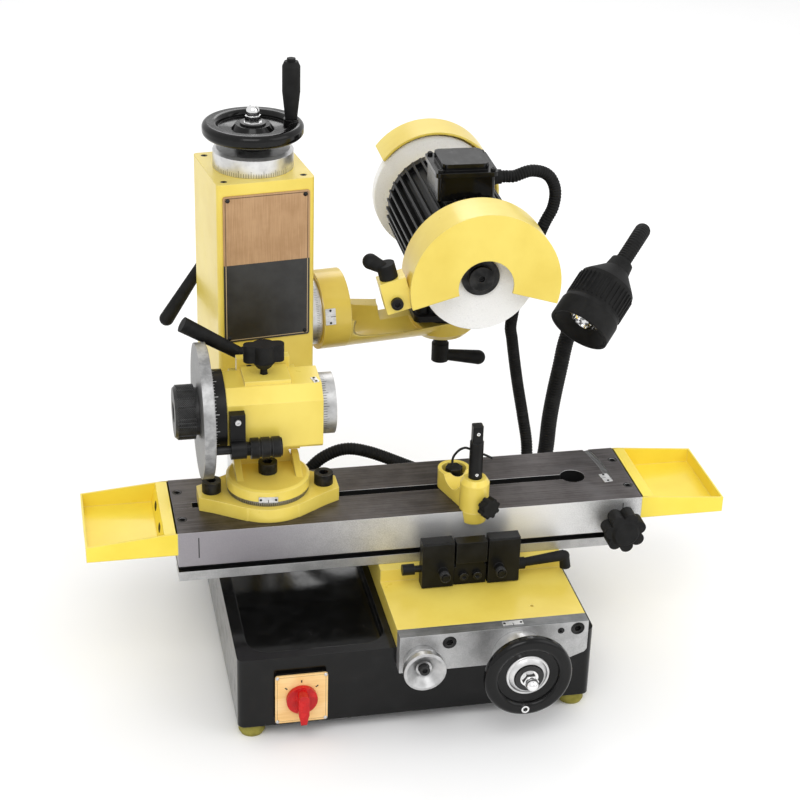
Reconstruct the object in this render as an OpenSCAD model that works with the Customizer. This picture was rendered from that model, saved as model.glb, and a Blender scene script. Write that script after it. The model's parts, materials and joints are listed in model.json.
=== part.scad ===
// Bench tool and cutter grinder as separately named pieces, in millimetres
// X runs along the table, Y to the back, Z up from the floor under the feet
// The layout below counts Y from the front edge of the table, then frame() moves it

/* [Base] */
// width of the base
base_w = 408; // [400:1:420]
// depth of the base
base_d = 413; // [400:1:440]
// height of the base without its feet
base_h = 89; // [80:1:100]
// distance of the base centre to the left of the table centre
base_left = 16.5; // [10:0.5:22]
// distance of the base front ahead of the table front
base_front = 113; // [100:1:125]
// height of the rubber feet
foot_h = 16; // [12:1:22]
// radius of the rubber feet
foot_r = 15; // [12:0.5:18]
// inset of the feet from the base sides
foot_inset = 17; // [15:1:24]
// depth of the drip tray in the base top
tray_d = 11; // [8:1:14]
// wall of the base casting
base_wall = 12; // [10:1:14]
// width of the switch plate
switch_w = 59; // [56:1:64]
// height of the switch plate
switch_h = 63; // [58:1:66]
// depth of the switch box
switch_d = 5; // [4:1:18]

/* [Cross slide] */
// width of the saddle
saddle_w = 217; // [205:1:230]
// distance of the saddle centre to the right of the table centre
saddle_x = 66; // [56:1:76]
// thickness of the saddle
saddle_t = 23; // [21:0.5:26]
// height of the raised way that carries the slide
riser_h = 16; // [13:0.5:20]
// thickness of the front plate
plate_t = 16; // [14:0.5:18]
// height of the front plate
plate_h = 47; // [45:0.5:50]
// radius of the cross handwheel
cross_r = 50; // [46:0.5:55]
// cross screw to the right of the table centre
cross_x = 93.5; // [88:0.5:100]
// depth of the cross screw below the base top
cross_drop = 11; // [10.5:0.5:14]
// radius of the cross screw
cross_screw_r = 8; // [6:0.5:8]
// table knob to the left of the table centre
knob_left = 18; // [12:0.5:19]
// radius of the table knob
knob_r = 24; // [20:0.5:26]

/* [Table] */
// length of the table
table_len = 545; // [520:1:570]
// width of the table
table_w = 124; // [118:1:132]
// thickness of the upper table
table_t = 43.5; // [38:0.5:48]
// height of the groove for the stops
groove_h = 7; // [6:0.5:9]
// depth of the groove for the stops
groove_d = 9; // [8:0.5:12]
// thickness of the lip under the groove
lip_t = 11.5; // [10:0.5:14]
// width of the tee slot
slot_w = 12; // [10:0.5:14]
// width of the tee slot at its foot
slot_foot_w = 20; // [18:0.5:24]
// distance from the right end of the table to the tee slot entry
slot_end = 68; // [55:1:80]
// radius of the tee slot entry
slot_entry_r = 15; // [13:0.5:17]
// length of each tray
bin_len = 102; // [85:1:115]
// depth of a tray at the table
bin_h = 28; // [24:0.5:34]
// height of the outer tray wall
bin_out_h = 19; // [15:0.5:22]
// sheet thickness of the trays
sheet = 2; // [1.5:0.5:3]

/* [Column] */
// column axis to the left of the table centre
col_left = 153.5; // [145:0.5:162]
// column axis behind the table front
col_y = 242; // [236:1:252]
// turn of the housing about the post
col_turn = 7.7; // [0:0.1:12]
// width of the square housing
col_w = 116; // [112:1:128]
// depth of the square housing
col_d = 114; // [108:1:122]
// height of the housing foot above the base
col_gap = 127; // [118:1:135]
// length of the housing without its top plate
col_h = 309; // [300:1:320]
// thickness of the top plate
cap_t = 10; // [8:0.5:12]
// radius of the round post
post_r = 35; // [32:0.5:40]
// radius of the lift screw
lift_screw_r = 9; // [7:0.5:10]
// radius of the lift handwheel
lift_r = 59; // [56:0.5:66]
// radius of the lift dial
lift_dial_r = 47; // [42:0.5:50]
// length of the revolving handle
grip_len = 71; // [65:1:90]

/* [Arm and motor] */
// height of the arm axis above the housing foot
arm_up = 126; // [120:0.5:130]
// radius of the arm boss
boss_r = 48.5; // [46:0.5:50]
// reach of the arm from the column axis
arm_reach = 253; // [248:1:262]
// offset of the pad behind the arm axis
pad_back = 28; // [20:1:34]
// radius of the pad
pad_r = 40; // [38:0.5:43]
// thickness of the pad
pad_t = 26; // [24:0.5:32]
// depth of the pad foot below the arm axis
pad_drop = 61.5; // [58:0.5:64]
// offset of the motor from the pad axis
motor_off = 12; // [0:1:16]
// turn of the motor on the pad
motor_turn = -8.6; // [-12:0.1:0]
// height of the motor axis above the pad
motor_up = 109.5; // [105:0.5:116]
// length of the finned motor frame
frame_len = 190; // [180:1:200]
// radius of the motor frame under its fins
frame_r = 60; // [56:0.5:63]
// height of the cooling fins
fin_h = 10.5; // [8:0.5:12]
// distance from the motor frame's end to each wheel's outer face
wheel_out = 50; // [48:0.5:53]
// radius of the front grinding wheel
wheel_r = 69.5; // [62:0.5:75]
// radius of the rear grinding wheel
rear_wheel_r = 79; // [70:0.5:80]
// thickness of the grinding wheels
wheel_t = 16; // [12:0.5:17]
// outer radius of the front guard
guard_r = 90; // [88:0.5:95]
// outer radius of the rear guard
rear_guard_r = 86; // [85:0.5:92]
// depth of the guards
guard_d = 57.5; // [56:0.5:62]
// wall of the guards
guard_t = 3; // [2.5:0.5:4]
// angle of the guard ends below the axis
guard_drop = 16; // [10:1:24]

/* [Work head] */
// work head to the left of the table centre
head_left = 162.5; // [150:0.5:170]
// thickness of the foot plate
head_foot_t = 17; // [14:0.5:20]
// radius of the swivel
swivel_r = 48; // [44:0.5:50]
// height of the spindle above the table
head_h = 121; // [118:0.5:126]
// height of the tilt axis above the table
tilt_h = 57; // [54:0.5:59]
// width of the head body
head_w = 74; // [68:0.5:76]
// length of the head body
head_len = 108; // [102:0.5:114]
// radius of the spindle bore
spindle_bore_r = 12; // [8:0.5:14]
// radius of the spindle in the body
spindle_r = 22; // [19:0.5:24]
// radius of the index plate
index_r = 77; // [70:0.5:78]

/* [Tooth rest] */
// tooth rest post to the right of the table centre
rest_x = 70; // [40:0.5:110]
// radius of the tooth rest post
rest_post_r = 8; // [6:0.5:9]

/* [Stops] */
// width of the stop blocks
stop_w = 37; // [32:0.5:39]
// fixed stop to the right of the table centre
stop_x = 59; // [40:0.5:80]

/* [Lamp] */
// diameter of the lamp gooseneck
neck_dia = 16; // [13:0.5:18]
// radius of the lamp head
lamp_r = 40; // [36:0.5:44]
// length of the lamp head
lamp_len = 110; // [100:1:120]

/* [Clearances] */
// running fit on the radius
fit = 0.05; // [0.02:0.01:0.1]
// gap between flat sliding faces
gap = 0.2; // [0.1:0.05:0.4]

/* [Hidden] */
$fn = 64;
// the frame's Y zero behind the table front, at the middle of the whole machine
y_mid = 142.74;
// levels from the floor up
base_top = foot_h + base_h;
tray_z = base_top - tray_d;
base_y1 = base_d - base_front;
saddle_z = base_top + gap;
saddle_top = saddle_z + saddle_t;
riser_top = saddle_top + riser_h;
slide_z = riser_top + gap;
groove_z = slide_z + lip_t;
slide_top = groove_z + groove_h;
table_z = slide_top + gap;
table_top = table_z + table_t;
mid_y = table_w / 2;
// dovetail sizes
cross_way_h = 13;
cross_way_neck = 34;
cross_way_flare = 6;
way_h = 8;
way_neck = 28;
way_flare = 5;
saddle_back = 160;
riser_y0 = -13;
riser_y1 = table_w + 13;
plate_y = -base_front - gap - plate_t;
cross_z = base_top - cross_drop;
cross_dial_d = 18;
cross_wheel_y = plate_y - 44;
// column levels
col_z = base_top + col_gap;
cap_z = col_z + col_h;
cap_top = cap_z + cap_t;
post_top = col_z + 204;
arm_z = col_z + arm_up;
ring_d = 16;
lock_x = 26;
lock_z = col_z + 199;
boss_x0 = col_w / 2 + ring_d + gap;
boss_len = 34;
ring_r = boss_r - 7;
pivot_r = 25;
pad_z = arm_z - pad_drop;
pad_top = pad_z + pad_t;
motor_z = pad_top + motor_up;
name_w = col_w - 13;
name_h = col_h - 127;
arm_yaw = atan2(pad_back, arm_reach - boss_x0 - 8);
arm_fall = atan2(arm_z - pad_z - pad_r, arm_reach - boss_x0 - 8);
arm_run = (arm_reach - boss_x0 - 8) / cos(arm_yaw) / cos(arm_fall);
stud_r = 10;
bell_len = 30;
bell_r = 42;
shaft_r = 10;
lift_dial_h = 23;
lift_wheel_z = cap_top + 45;
// guard place along the motor axis, from the motor centre outward
wheel_y = frame_len / 2 + wheel_out;
guard_y0 = wheel_y - 22;
guard_y1 = guard_y0 + guard_d;
// work head levels above the table
head_y = mid_y;
swivel_z = table_top + head_foot_t + gap;
swivel_t = 20;
head_z = table_top + head_h;
tilt_z = table_top + tilt_h;
wall_y0 = head_y + 22;
wall_y1 = head_y + 35;
lug_y0 = wall_y1 + gap;
body_x0 = -head_len / 2 + 4;
body_x1 = head_len / 2 + 4;
// tooth rest
rest_y = 8;
nut_y = mid_y;
nut_x = rest_x - 12;
// stops
stop_y0 = -36;
stop_y1 = -20;
stop_z0 = saddle_top + 1.5;
stop_h = 58;
// cords: hand chosen route points, counted like the layout
conduit_r = 6;
conduit_path = [[152, 267.7, 514], [160, 267.6, 514], [169, 267.5, 514], [191, 270, 519], [213, 275, 511], [224, 276, 492],
    [223, 276, 468], [212, 277, 442], [190, 279, 380], [178, 280, 314], [184, 280, 287], [196, 279, 232], [203, 272, 181],
    [206, 262, 142], [198, 246, 119], [168, 228, 114], [120, 217, 116], [76, 210, 132], [32, 205, 158], [-16, 200, 183],
    [-47, 200, 190], [-74, 200, 181], [-93, 200, 163], [-104, 200, 140], [-106, 200, 123], [-106, 200, 114],
    [-106, 200, 105]];
neck_path = [[187.5, 276, 70], [196, 276, 70], [205, 276, 70], [223, 277, 78], [232, 278, 98], [237, 280, 124],
    [239, 280, 168], [243, 280, 206], [250, 284, 244], [262, 304, 272], [278, 322, 300], [298.2, 332, 327.5],
    [321.3, 337, 348.1], [344.3, 338, 370.4], [361.5, 334.5, 391], [369, 327, 405.5], [369.5, 317, 412.5],
    [363, 309, 411.5], [353, 305.2, 405.5], [343, 303, 398.5], [334.1, 298.3, 391.2], [329, 294.2, 386.6], [324, 290, 382]];
lamp_from = [324, 290, 382];
lamp_dir = [-0.631, -0.52, -0.576];
finger_path = [[-28, 0, 58], [-27, 0, 68], [-21, 0, 76], [-14, 0, 79], [-8, 0, 77], [0, 0, 73], [8, 0, 69], [19, 0, 63]];

// the shared frame
module frame() {
    translate([0, -y_mid, 0]) children();
}

// frame of the column housing, with X toward the arm
module at_column() {
    translate([-col_left, col_y, 0]) rotate(col_turn) children();
}

// frame of the pad that carries the motor
module at_pad() {
    at_column() translate([arm_reach, pad_back, 0]) children();
}

// frame of the motor axis, with Y from the front wheel to the rear wheel
module at_motor() {
    at_pad() rotate(motor_turn) translate([motor_off, 0, motor_z]) children();
}

// frame of the work head at the table top
module at_head() {
    translate([-head_left, head_y, 0]) children();
}

// a rod along X
module rod_x(r, x0, x1) {
    translate([x0, 0, 0]) rotate([0, 90, 0]) cylinder(r = r, h = x1 - x0);
}

// a rod along Y
module rod_y(r, y0, y1) {
    translate([0, y0, 0]) rotate([-90, 0, 0]) cylinder(r = r, h = y1 - y0);
}

// a rectangle with round corners, centred
module round_rect(w, d, r) {
    square([w - 2 * r, d], center = true);
    square([w, d - 2 * r], center = true);
    for (sx = [-1, 1], sy = [-1, 1]) translate([sx * (w / 2 - r), sy * (d / 2 - r)]) circle(r);
}

// a lobed grip turned about Z
module lobed(r, n, lobe, h) {
    linear_extrude(h) {
        circle(r);
        for (i = [0:n - 1]) rotate((i + 0.4) * 360 / n) translate([r - 0.3, 0]) circle(lobe);
    }
}

// a hexagon nut with a domed end, along Z
module acorn(r, h) {
    cylinder(r = r, h = h, $fn = 6);
    translate([0, 0, h]) cylinder(r = r * 0.8, h = r * 0.5);
    translate([0, 0, h + r * 0.5]) sphere(r = r * 0.8);
}

// a socket head screw standing on Z zero
module socket_head(r, h) {
    difference() {
        cylinder(r = r, h = h);
        translate([0, 0, h * 0.45]) cylinder(r = r * 0.55, h = h, $fn = 6);
    }
}

// a clamp lever: hub along Z, grip leaning outward along X
module clamp_lever(hub_r, hub_h, reach, lean) {
    cylinder(r = hub_r, h = hub_h);
    translate([0, 0, hub_h - hub_r * 0.7]) rotate([0, 90 - lean, 0]) {
        cylinder(r1 = hub_r * 0.62, r2 = hub_r * 0.85, h = reach);
        translate([0, 0, reach]) sphere(r = hub_r * 0.85);
    }
}

// the outline of a dovetail, neck at zero, flared upward
module dovetail(neck, flare, h, grow) {
    polygon([[-neck - grow, -1], [-neck - grow, 0], [-neck - flare - grow, h], [neck + flare + grow, h],
        [neck + grow, 0], [neck + grow, -1]]);
}

// a route smoothed through its points, n steps for each span
function smooth_at(p, i, t) =
    let (a = p[max(i - 1, 0)], b = p[i], c = p[i + 1], d = p[min(i + 2, len(p) - 1)])
    0.5 * (2 * b + (c - a) * t + (2 * a - 5 * b + 4 * c - d) * t * t + (3 * b - a - 3 * c + d) * t * t * t);
function smooth(p, n) = [for (i = [0:len(p) - 2], k = [0:n - 1]) smooth_at(p, i, k / n), p[len(p) - 1]];
function unit(v) = v / norm(v);
function course(p, i) = unit(p[min(i + 1, len(p) - 1)] - p[max(i - 1, 0)]);
function carry(p, i) = i == 0
    ? let (t = course(p, 0), a = abs(t[2]) > 0.9 ? [1, 0, 0] : [0, 0, 1]) unit(cross(cross(t, a), t))
    : let (t = course(p, i), u = carry(p, i - 1)) unit(u - (u * t) * t);
function ring(p, i, u, r, m) = let (t = course(p, i), v = cross(t, u))
    [for (k = [0:m - 1]) p[i] + r * (cos(k * 360 / m) * u + sin(k * 360 / m) * v)];

// a round tube of radius r along a smoothed route
module tube(route, r, m) {
    n = len(route);
    rings = [for (i = 0, u = carry(route, 0); i < n;
        i = i + 1, u = i < n ? let (t = course(route, i)) unit(u - (u * t) * t) : u) ring(route, i, u, r, m)];
    points = [for (q = rings, w = q) w];
    sides = [for (i = [0:n - 2], k = [0:m - 1])
        [i * m + k, (i + 1) * m + k, (i + 1) * m + (k + 1) % m, i * m + (k + 1) % m]];
    ends = [[for (k = [0:m - 1]) k], [for (k = [m - 1:-1:0]) (n - 1) * m + k]];
    polyhedron(points, concat(ends, sides));
}

// base casting with drip tray, feet bosses and cross way
module base() {
    cx = -base_left;
    cy = base_d / 2 - base_front;
    color("black") difference() {
        union() {
            difference() {
                translate([cx, cy, foot_h]) linear_extrude(base_h) round_rect(base_w, base_d, 9);
                translate([cx, cy, foot_h - 1]) linear_extrude(base_h - tray_d - base_wall + 1)
                    round_rect(base_w - 2 * base_wall, base_d - 2 * base_wall, 12);
                base_tray();
            }
            for (sx = [-1, 1], sy = [-1, 1])
                translate([cx + sx * (base_w / 2 - foot_inset), cy + sy * (base_d / 2 - foot_inset), foot_h])
                    cylinder(r = 15, h = base_h - tray_d - 4);
            translate([cross_x - 24, -base_front + 2, base_top - 28]) cube([48, 208, 26]);
            translate([saddle_x, 200, base_top]) rotate([90, 0, 0]) linear_extrude(200 + base_front - 6)
                dovetail(cross_way_neck, cross_way_flare, cross_way_h, 0);
        }
        translate([cross_x, 0, cross_z]) rod_y(cross_screw_r + fit, -base_front - 1, 130);
        translate([cross_x, 0, cross_z]) rod_y(cross_screw_r + 1.5, -base_front - 1, -45);
        translate([cross_x, 0, cross_z]) rod_y(cross_screw_r + 1.5, 0, 130);
        translate([-106, 200, base_top - 30]) cylinder(r = conduit_r - 2, h = 40);
    }
}

// recess of the drip tray, left of the saddle
module base_tray() {
    x0 = -base_left - base_w / 2 + base_wall + 2;
    x1 = saddle_x - saddle_w / 2 - 8;
    y0 = -base_front + base_wall + 2;
    y1 = 185;
    translate([(x0 + x1) / 2, (y0 + y1) / 2, tray_z]) linear_extrude(tray_d + 1) round_rect(x1 - x0, y1 - y0, 26);
}

// four rubber feet
module feet() {
    cy = base_d / 2 - base_front;
    color("olive") for (sx = [-1, 1], sy = [-1, 1])
        translate([-base_left + sx * (base_w / 2 - foot_inset), cy + sy * (base_d / 2 - foot_inset), 0]) {
            cylinder(r1 = foot_r - 2, r2 = foot_r, h = 4);
            translate([0, 0, 4]) cylinder(r1 = foot_r, r2 = foot_r - 1.5, h = foot_h - 4);
        }
}

// middle of the switch on the base front
switch_at = [-base_left - base_w / 2 + 70, -base_front, foot_h + switch_h / 2 + 6.5];

// switch box behind its plate
module switch_box() {
    color("black") translate(switch_at) difference() {
        rotate([90, 0, 0]) linear_extrude(switch_d) round_rect(switch_w - 2, switch_h - 2, 4);
        rod_y(5, -switch_d - 1, 3 - switch_d);
    }
}

// switch plate
module switch_plate() {
    color("gold") translate(switch_at) translate([0, -switch_d, 0]) difference() {
        rotate([90, 0, 0]) linear_extrude(2) round_rect(switch_w, switch_h, 3);
        rod_y(5, -3, 1);
        for (sx = [-1, 1], sz = [-1, 1]) translate([sx * (switch_w / 2 - 2.5), 0, sz * (switch_h / 2 - 2.5)])
            rod_y(1.6, -3, 1);
    }
}

// rotary switch knob with pointer grip
module switch_knob() {
    y = -switch_d - 2 - gap;
    color("red") translate(switch_at) {
        rod_y(4.6, y - 1, 2.5 - switch_d);
        rod_y(17.5, y - 5, y);
        translate([0, y - 5, 0]) rotate([90, 0, 0]) linear_extrude(14) {
            round_rect(12, 30, 5);
            polygon([[-6, -8], [6, -8], [3.4, -23], [-3.4, -23]]);
        }
    }
}

// round post with foot flange and bores for the nut and screw
module column_post() {
    color("silver") translate([-col_left, col_y, 0]) difference() {
        union() {
            translate([0, 0, base_top]) cylinder(r = post_r, h = post_top - base_top);
            translate([0, 0, base_top]) cylinder(r = post_r + 13, h = 15);
        }
        translate([0, 0, post_top - 45]) cylinder(r = 22 + fit, h = 46);
        translate([0, 0, post_top - 190]) cylinder(r = lift_screw_r + 4, h = 180);
        for (i = [0:5]) rotate(30 + i * 60) translate([post_r + 7, 0, base_top + 9]) cylinder(r = 4, h = 9);
    }
}

// bronze lift nut that turns in the post
module lift_nut() {
    color("goldenrod") translate([-col_left, col_y, 0]) difference() {
        union() {
            translate([0, 0, post_top - 44]) cylinder(r = 22, h = 44 + gap);
            translate([0, 0, post_top + gap]) cylinder(r = 29, h = 7);
        }
        translate([0, 0, post_top - 50]) cylinder(r = lift_screw_r + fit, h = 70);
    }
}

// square housing with top plate, scale ring and arm pivot
module column_housing() {
    color("khaki") at_column() {
        difference() {
            union() {
                translate([0, 0, col_z]) linear_extrude(col_h) round_rect(col_w, col_d, 5);
                translate([0, 0, arm_z]) rod_x(ring_r, col_w / 2 - 4, col_w / 2 + ring_d);
                translate([0, 0, arm_z]) rod_x(pivot_r, col_w / 2, boss_x0 + boss_len - 8);
            }
            translate([0, 0, col_z - 1]) cylinder(r = post_r + fit, h = 121);
            translate([0, 0, col_z + 119]) cylinder(r = post_r + 4, h = col_h - 118);
            translate([-lock_x, 0, lock_z]) rod_y(5, col_d / 2 - 16, col_d / 2 + 1);
        }
        difference() {
            translate([0, 0, cap_z]) linear_extrude(cap_t) round_rect(col_w, col_d, 5);
            translate([0, 0, cap_z - 1]) cylinder(r = lift_screw_r + 3 + fit, h = cap_t + 2);
            for (sx = [-1, 1], sy = [-1, 1]) translate([sx * (col_w / 2 - 11), sy * (col_d / 2 - 11), cap_top - 6])
                cylinder(r = 4, h = 7);
        }
    }
}

// bare plate on the housing front
module nameplate() {
    color("tan") at_column() translate([0, -col_d / 2, cap_z - name_h / 2 - 4]) difference() {
        rotate([90, 0, 0]) linear_extrude(1.5) round_rect(name_w, name_h, 3);
        for (sx = [-1, 1], sz = [-1, 1]) translate([sx * (name_w / 2 - 5.5), 0, sz * (name_h / 2 - 5)])
            rod_y(1.5, -1.6, -0.8);
    }
}

// lift screw with collar
module lift_screw() {
    color("silver") at_column() {
        translate([0, 0, post_top - 90]) cylinder(r = lift_screw_r, h = cap_z - post_top + 90);
        translate([0, 0, cap_z]) cylinder(r = lift_screw_r + 3, h = cap_t + gap);
        translate([0, 0, cap_top + gap]) cylinder(r = lift_screw_r - 1, h = 44);
        translate([0, 0, cap_z - 6 - gap]) cylinder(r = lift_screw_r + 6, h = 6);
    }
}

// graduated lift dial
module lift_dial() {
    color("gainsboro") at_column() translate([0, 0, cap_top + gap]) difference() {
        union() {
            cylinder(r = lift_dial_r, h = lift_dial_h - 3);
            translate([0, 0, lift_dial_h - 3]) cylinder(r1 = lift_dial_r, r2 = lift_dial_r - 4, h = 3);
        }
        translate([0, 0, -1]) cylinder(r = lift_screw_r - 1, h = lift_dial_h + 2);
    }
}

// a handwheel about Z with its rim at zero, dished down to a hub foot at -back
module handwheel(r, back, bore) {
    rim = r * 0.155;
    difference() {
        union() {
            rotate_extrude() translate([r - rim, 0]) round_rect(2 * rim, 1.8 * rim, rim * 0.7);
            rotate_extrude() polygon([[0, -back], [r * 0.36, -back], [r * 0.36, -rim], [r - rim * 1.2, -rim * 0.9],
                [r - rim * 1.2, rim * 0.2], [r * 0.42, -rim * 0.1], [r * 0.34, rim * 0.6], [0, rim * 0.6]]);
        }
        translate([0, 0, -back - 1]) cylinder(r = bore, h = back + rim + 2);
    }
}

// lift handwheel with the boss of its handle
module lift_handwheel() {
    color("black") at_column() translate([0, 0, lift_wheel_z]) difference() {
        union() {
            handwheel(lift_r, lift_wheel_z - cap_top - gap - lift_dial_h, lift_screw_r - 1);
            rotate(-12) translate([lift_r - 15, 0, 0]) cylinder(r = 9, h = 11);
        }
        rotate(-12) translate([lift_r - 15, 0, -20]) cylinder(r = 4, h = 40);
    }
}

// domed nut of the lift handwheel
module lift_cap() {
    color("white") at_column() translate([0, 0, lift_wheel_z + lift_r * 0.093]) difference() {
        union() {
            cylinder(r = 15, h = 2);
            translate([0, 0, 2]) acorn(9.5, 8);
        }
        translate([0, 0, -1]) cylinder(r = lift_screw_r - 1, h = 4.4);
    }
}

// revolving handle on the lift handwheel
module lift_handle() {
    color("black") at_column() rotate(-12) translate([lift_r - 15, 0, lift_wheel_z]) {
        translate([0, 0, -6]) cylinder(r = 4 - fit, h = 20);
        translate([0, 0, 11 + gap]) cylinder(r1 = 7, r2 = 10.5, h = grip_len * 0.45);
        translate([0, 0, 11 + gap + grip_len * 0.45]) cylinder(r = 10.5, h = grip_len * 0.42);
        translate([0, 0, 11 + gap + grip_len * 0.87]) cylinder(r1 = 10.5, r2 = 8, h = grip_len * 0.08);
        translate([0, 0, 11 + gap + grip_len * 0.95]) cylinder(r = 5, h = grip_len * 0.05);
    }
}

// lever that locks the housing to the post, on its back
module column_lock() {
    color("black") at_column() translate([-lock_x, col_d / 2 + gap, lock_z]) {
        rod_y(5 - fit, -14, 2);
        rotate([-90, 0, 0]) cylinder(r = 11, h = 24);
        translate([0, 17, 0]) rotate([0, 34, 0]) translate([0, 0, -117]) {
            cylinder(r1 = 9, r2 = 5.5, h = 115);
            sphere(r = 9);
        }
    }
}

// arm casting: boss, channel and pad
module arm() {
    x0 = boss_x0 + boss_len - 8;
    color("khaki") at_column() difference() {
        union() {
            translate([0, 0, arm_z]) rod_x(boss_r, boss_x0, boss_x0 + boss_len);
            intersection() {
                translate([boss_x0 + 8, 0, arm_z]) rotate([0, 90 + arm_fall, arm_yaw])
                    cylinder(r1 = boss_r, r2 = pad_r, h = arm_run);
                translate([0, 90, 0]) rotate([90, 0, 0]) linear_extrude(200)
                    polygon([[boss_x0 + 2, pad_z + 70], [x0 + 16, pad_z + 60], [x0 + 36, pad_z + 46],
                        [x0 + 70, pad_z + 40], [arm_reach - 56, pad_z + 38], [arm_reach - 40, pad_top],
                        [arm_reach, pad_top], [arm_reach, pad_z], [x0 + 60, pad_z + 4], [boss_x0 + 2, pad_z + 6]]);
            }
            translate([arm_reach, pad_back, pad_z + 8]) cylinder(r = pad_r, h = pad_t - 8);
            translate([arm_reach, pad_back, pad_z]) cylinder(r1 = pad_r - 8, r2 = pad_r, h = 8);
        }
        translate([0, 0, arm_z]) rod_x(pivot_r + fit, boss_x0 - 1, boss_x0 + boss_len - 8 + gap);
        translate([x0 + 8, -5, pad_z + 57]) rotate([0, 90, 6]) cylinder(r = 38, h = arm_reach - x0 - 50);
        translate([arm_reach, pad_back, pad_z - 1]) cylinder(r = stud_r + fit, h = pad_t + 2);
        translate([arm_reach, pad_back, pad_top]) cylinder(r = 84, h = 40);
    }
}

// clamp lever under the pad
module pad_lever() {
    color("black") at_pad() difference() {
        union() {
            translate([0, 0, pad_z - 20 - gap]) cylinder(r = 9, h = 20);
            translate([0, 0, pad_z - 18]) rotate(-14) rotate([180, 0, 0]) clamp_lever(11, 24, 50, 6);
        }
        translate([0, 0, pad_z - 14]) cylinder(r = stud_r - 3, h = 20);
    }
}

// finned frame with two end bells
module motor_frame() {
    half = frame_len / 2;
    color("black") at_motor() difference() {
        union() {
            rod_y(frame_r, -half, half);
            for (i = [0:29]) {
                a = 42 + i * 276 / 29 - 90;
                if (abs(a + 90) > 34) rotate([0, -a, 0]) translate([frame_r - 4, -half + 6, -1.4])
                    cube([fin_h + 4, frame_len - 12, 2.8]);
            }
            for (s = [-1, 1]) rotate([s * -90, 0, 0]) rotate_extrude()
                polygon([[0, half - 10], [frame_r + fin_h - 4, half - 10], [frame_r + fin_h - 4, half + 2],
                    [frame_r + 2, half + 10], [bell_r, half + 13], [bell_r, half + bell_len], [0, half + bell_len]]);
            translate([-30, -70, 0]) cube([60, 70, frame_r + 6]);
        }
        translate([-3, -35, frame_r + 16]) cube([71, 71, 20], center = true);
        rod_y(42, -half + 16, half - 16);
        rod_y(shaft_r + fit, -half - bell_len - 1, half + bell_len + 1);
        translate([0, 0, -frame_r - fin_h - 20]) cube([70, frame_len - 16, 2 * fin_h + 34], center = true);
    }
}

// block under the motor that turns on the pad, with its bolts
module motor_base() {
    color("black") at_pad() rotate(motor_turn) {
        difference() {
            union() {
                translate([0, 0, pad_top + gap]) cylinder(r = pad_r - 2, h = 9);
                translate([motor_off, 0, pad_top + gap + 9]) linear_extrude(8) round_rect(114, 104, 8);
                translate([motor_off, 0, pad_top + gap + 17]) linear_extrude(motor_up - 17) round_rect(66, 92, 6);
                translate([0, 0, pad_z - 12]) cylinder(r = stud_r, h = pad_t + 14);
                translate([0, 0, pad_z - 12]) cylinder(r = stud_r - 3.4, h = 8);
            }
            translate([motor_off, 0, motor_z]) rod_y(frame_r, -90, 90);
            translate([motor_off, 0, motor_z - frame_r + 14]) cylinder(r = 90, h = motor_up);
            translate([0, 0, pad_z - 13]) difference() {
                cylinder(r = stud_r + 1, h = 13 - gap);
                cylinder(r = stud_r - 3.4, h = 13 - gap);
            }
        }
        for (sx = [-1, 1], sy = [-1, 1]) translate([motor_off + sx * 45, sy * 36, pad_top + gap + 17]) socket_head(8, 9);
    }
}

// terminal box with its lid
module terminal_box() {
    z0 = frame_r + 6;
    color("black") at_motor() translate([-3, -35, 0]) {
        difference() {
            translate([0, 0, z0]) linear_extrude(30) round_rect(70, 70, 5);
            translate([0, 0, z0 + 4]) linear_extrude(30) round_rect(62, 62, 4);
            translate([0, 0, z0 + 16]) rod_x(8, 20, 40);
        }
        translate([0, 0, z0 + 30]) linear_extrude(6) round_rect(76, 76, 6);
        translate([0, 0, z0 + 36]) linear_extrude(8) round_rect(58, 58, 8);
    }
}

// gland where the conduit enters the terminal box
module cable_gland() {
    color("black") at_motor() translate([-3, -35, frame_r + 22]) {
        rod_x(7.95, 32, 35);
        translate([35, 0, 0]) rotate([0, 90, 0]) cylinder(r = 11, h = 8, $fn = 6);
        rod_x(9, 43, 50);
    }
}

// motor shaft with rotor, wheel flanges and end nuts
module motor_shaft() {
    half = frame_len / 2;
    color("dimgray") at_motor() {
        rod_y(shaft_r, -wheel_y - 6, wheel_y + 6);
        rod_y(38, -half + 30, half - 30);
        for (s = [-1, 1]) rotate([0, 0, s < 0 ? 0 : 180]) difference() {
            union() {
                rod_y(23, -wheel_y - 5, -wheel_y);
                rod_y(23, -wheel_y + wheel_t, -wheel_y + wheel_t + 3);
                rod_y(15, -wheel_y - 11, -wheel_y - 5);
            }
            rod_y(4, -wheel_y - 12, -wheel_y - 4);
            rod_y(shaft_r, -wheel_y - 6, -wheel_y + wheel_t + 6);
        }
    }
}

// two grinding wheels
module wheels() {
    color("white") at_motor() for (s = [-1, 1]) rotate([0, 0, s < 0 ? 0 : 180]) difference() {
        r = s < 0 ? wheel_r : rear_wheel_r;
        union() {
            rod_y(r - 1, -wheel_y, -wheel_y + wheel_t);
            rod_y(r, -wheel_y + 1, -wheel_y + wheel_t - 1);
        }
        rod_y(shaft_r, -wheel_y - 1, -wheel_y + wheel_t + 1);
    }
}

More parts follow.
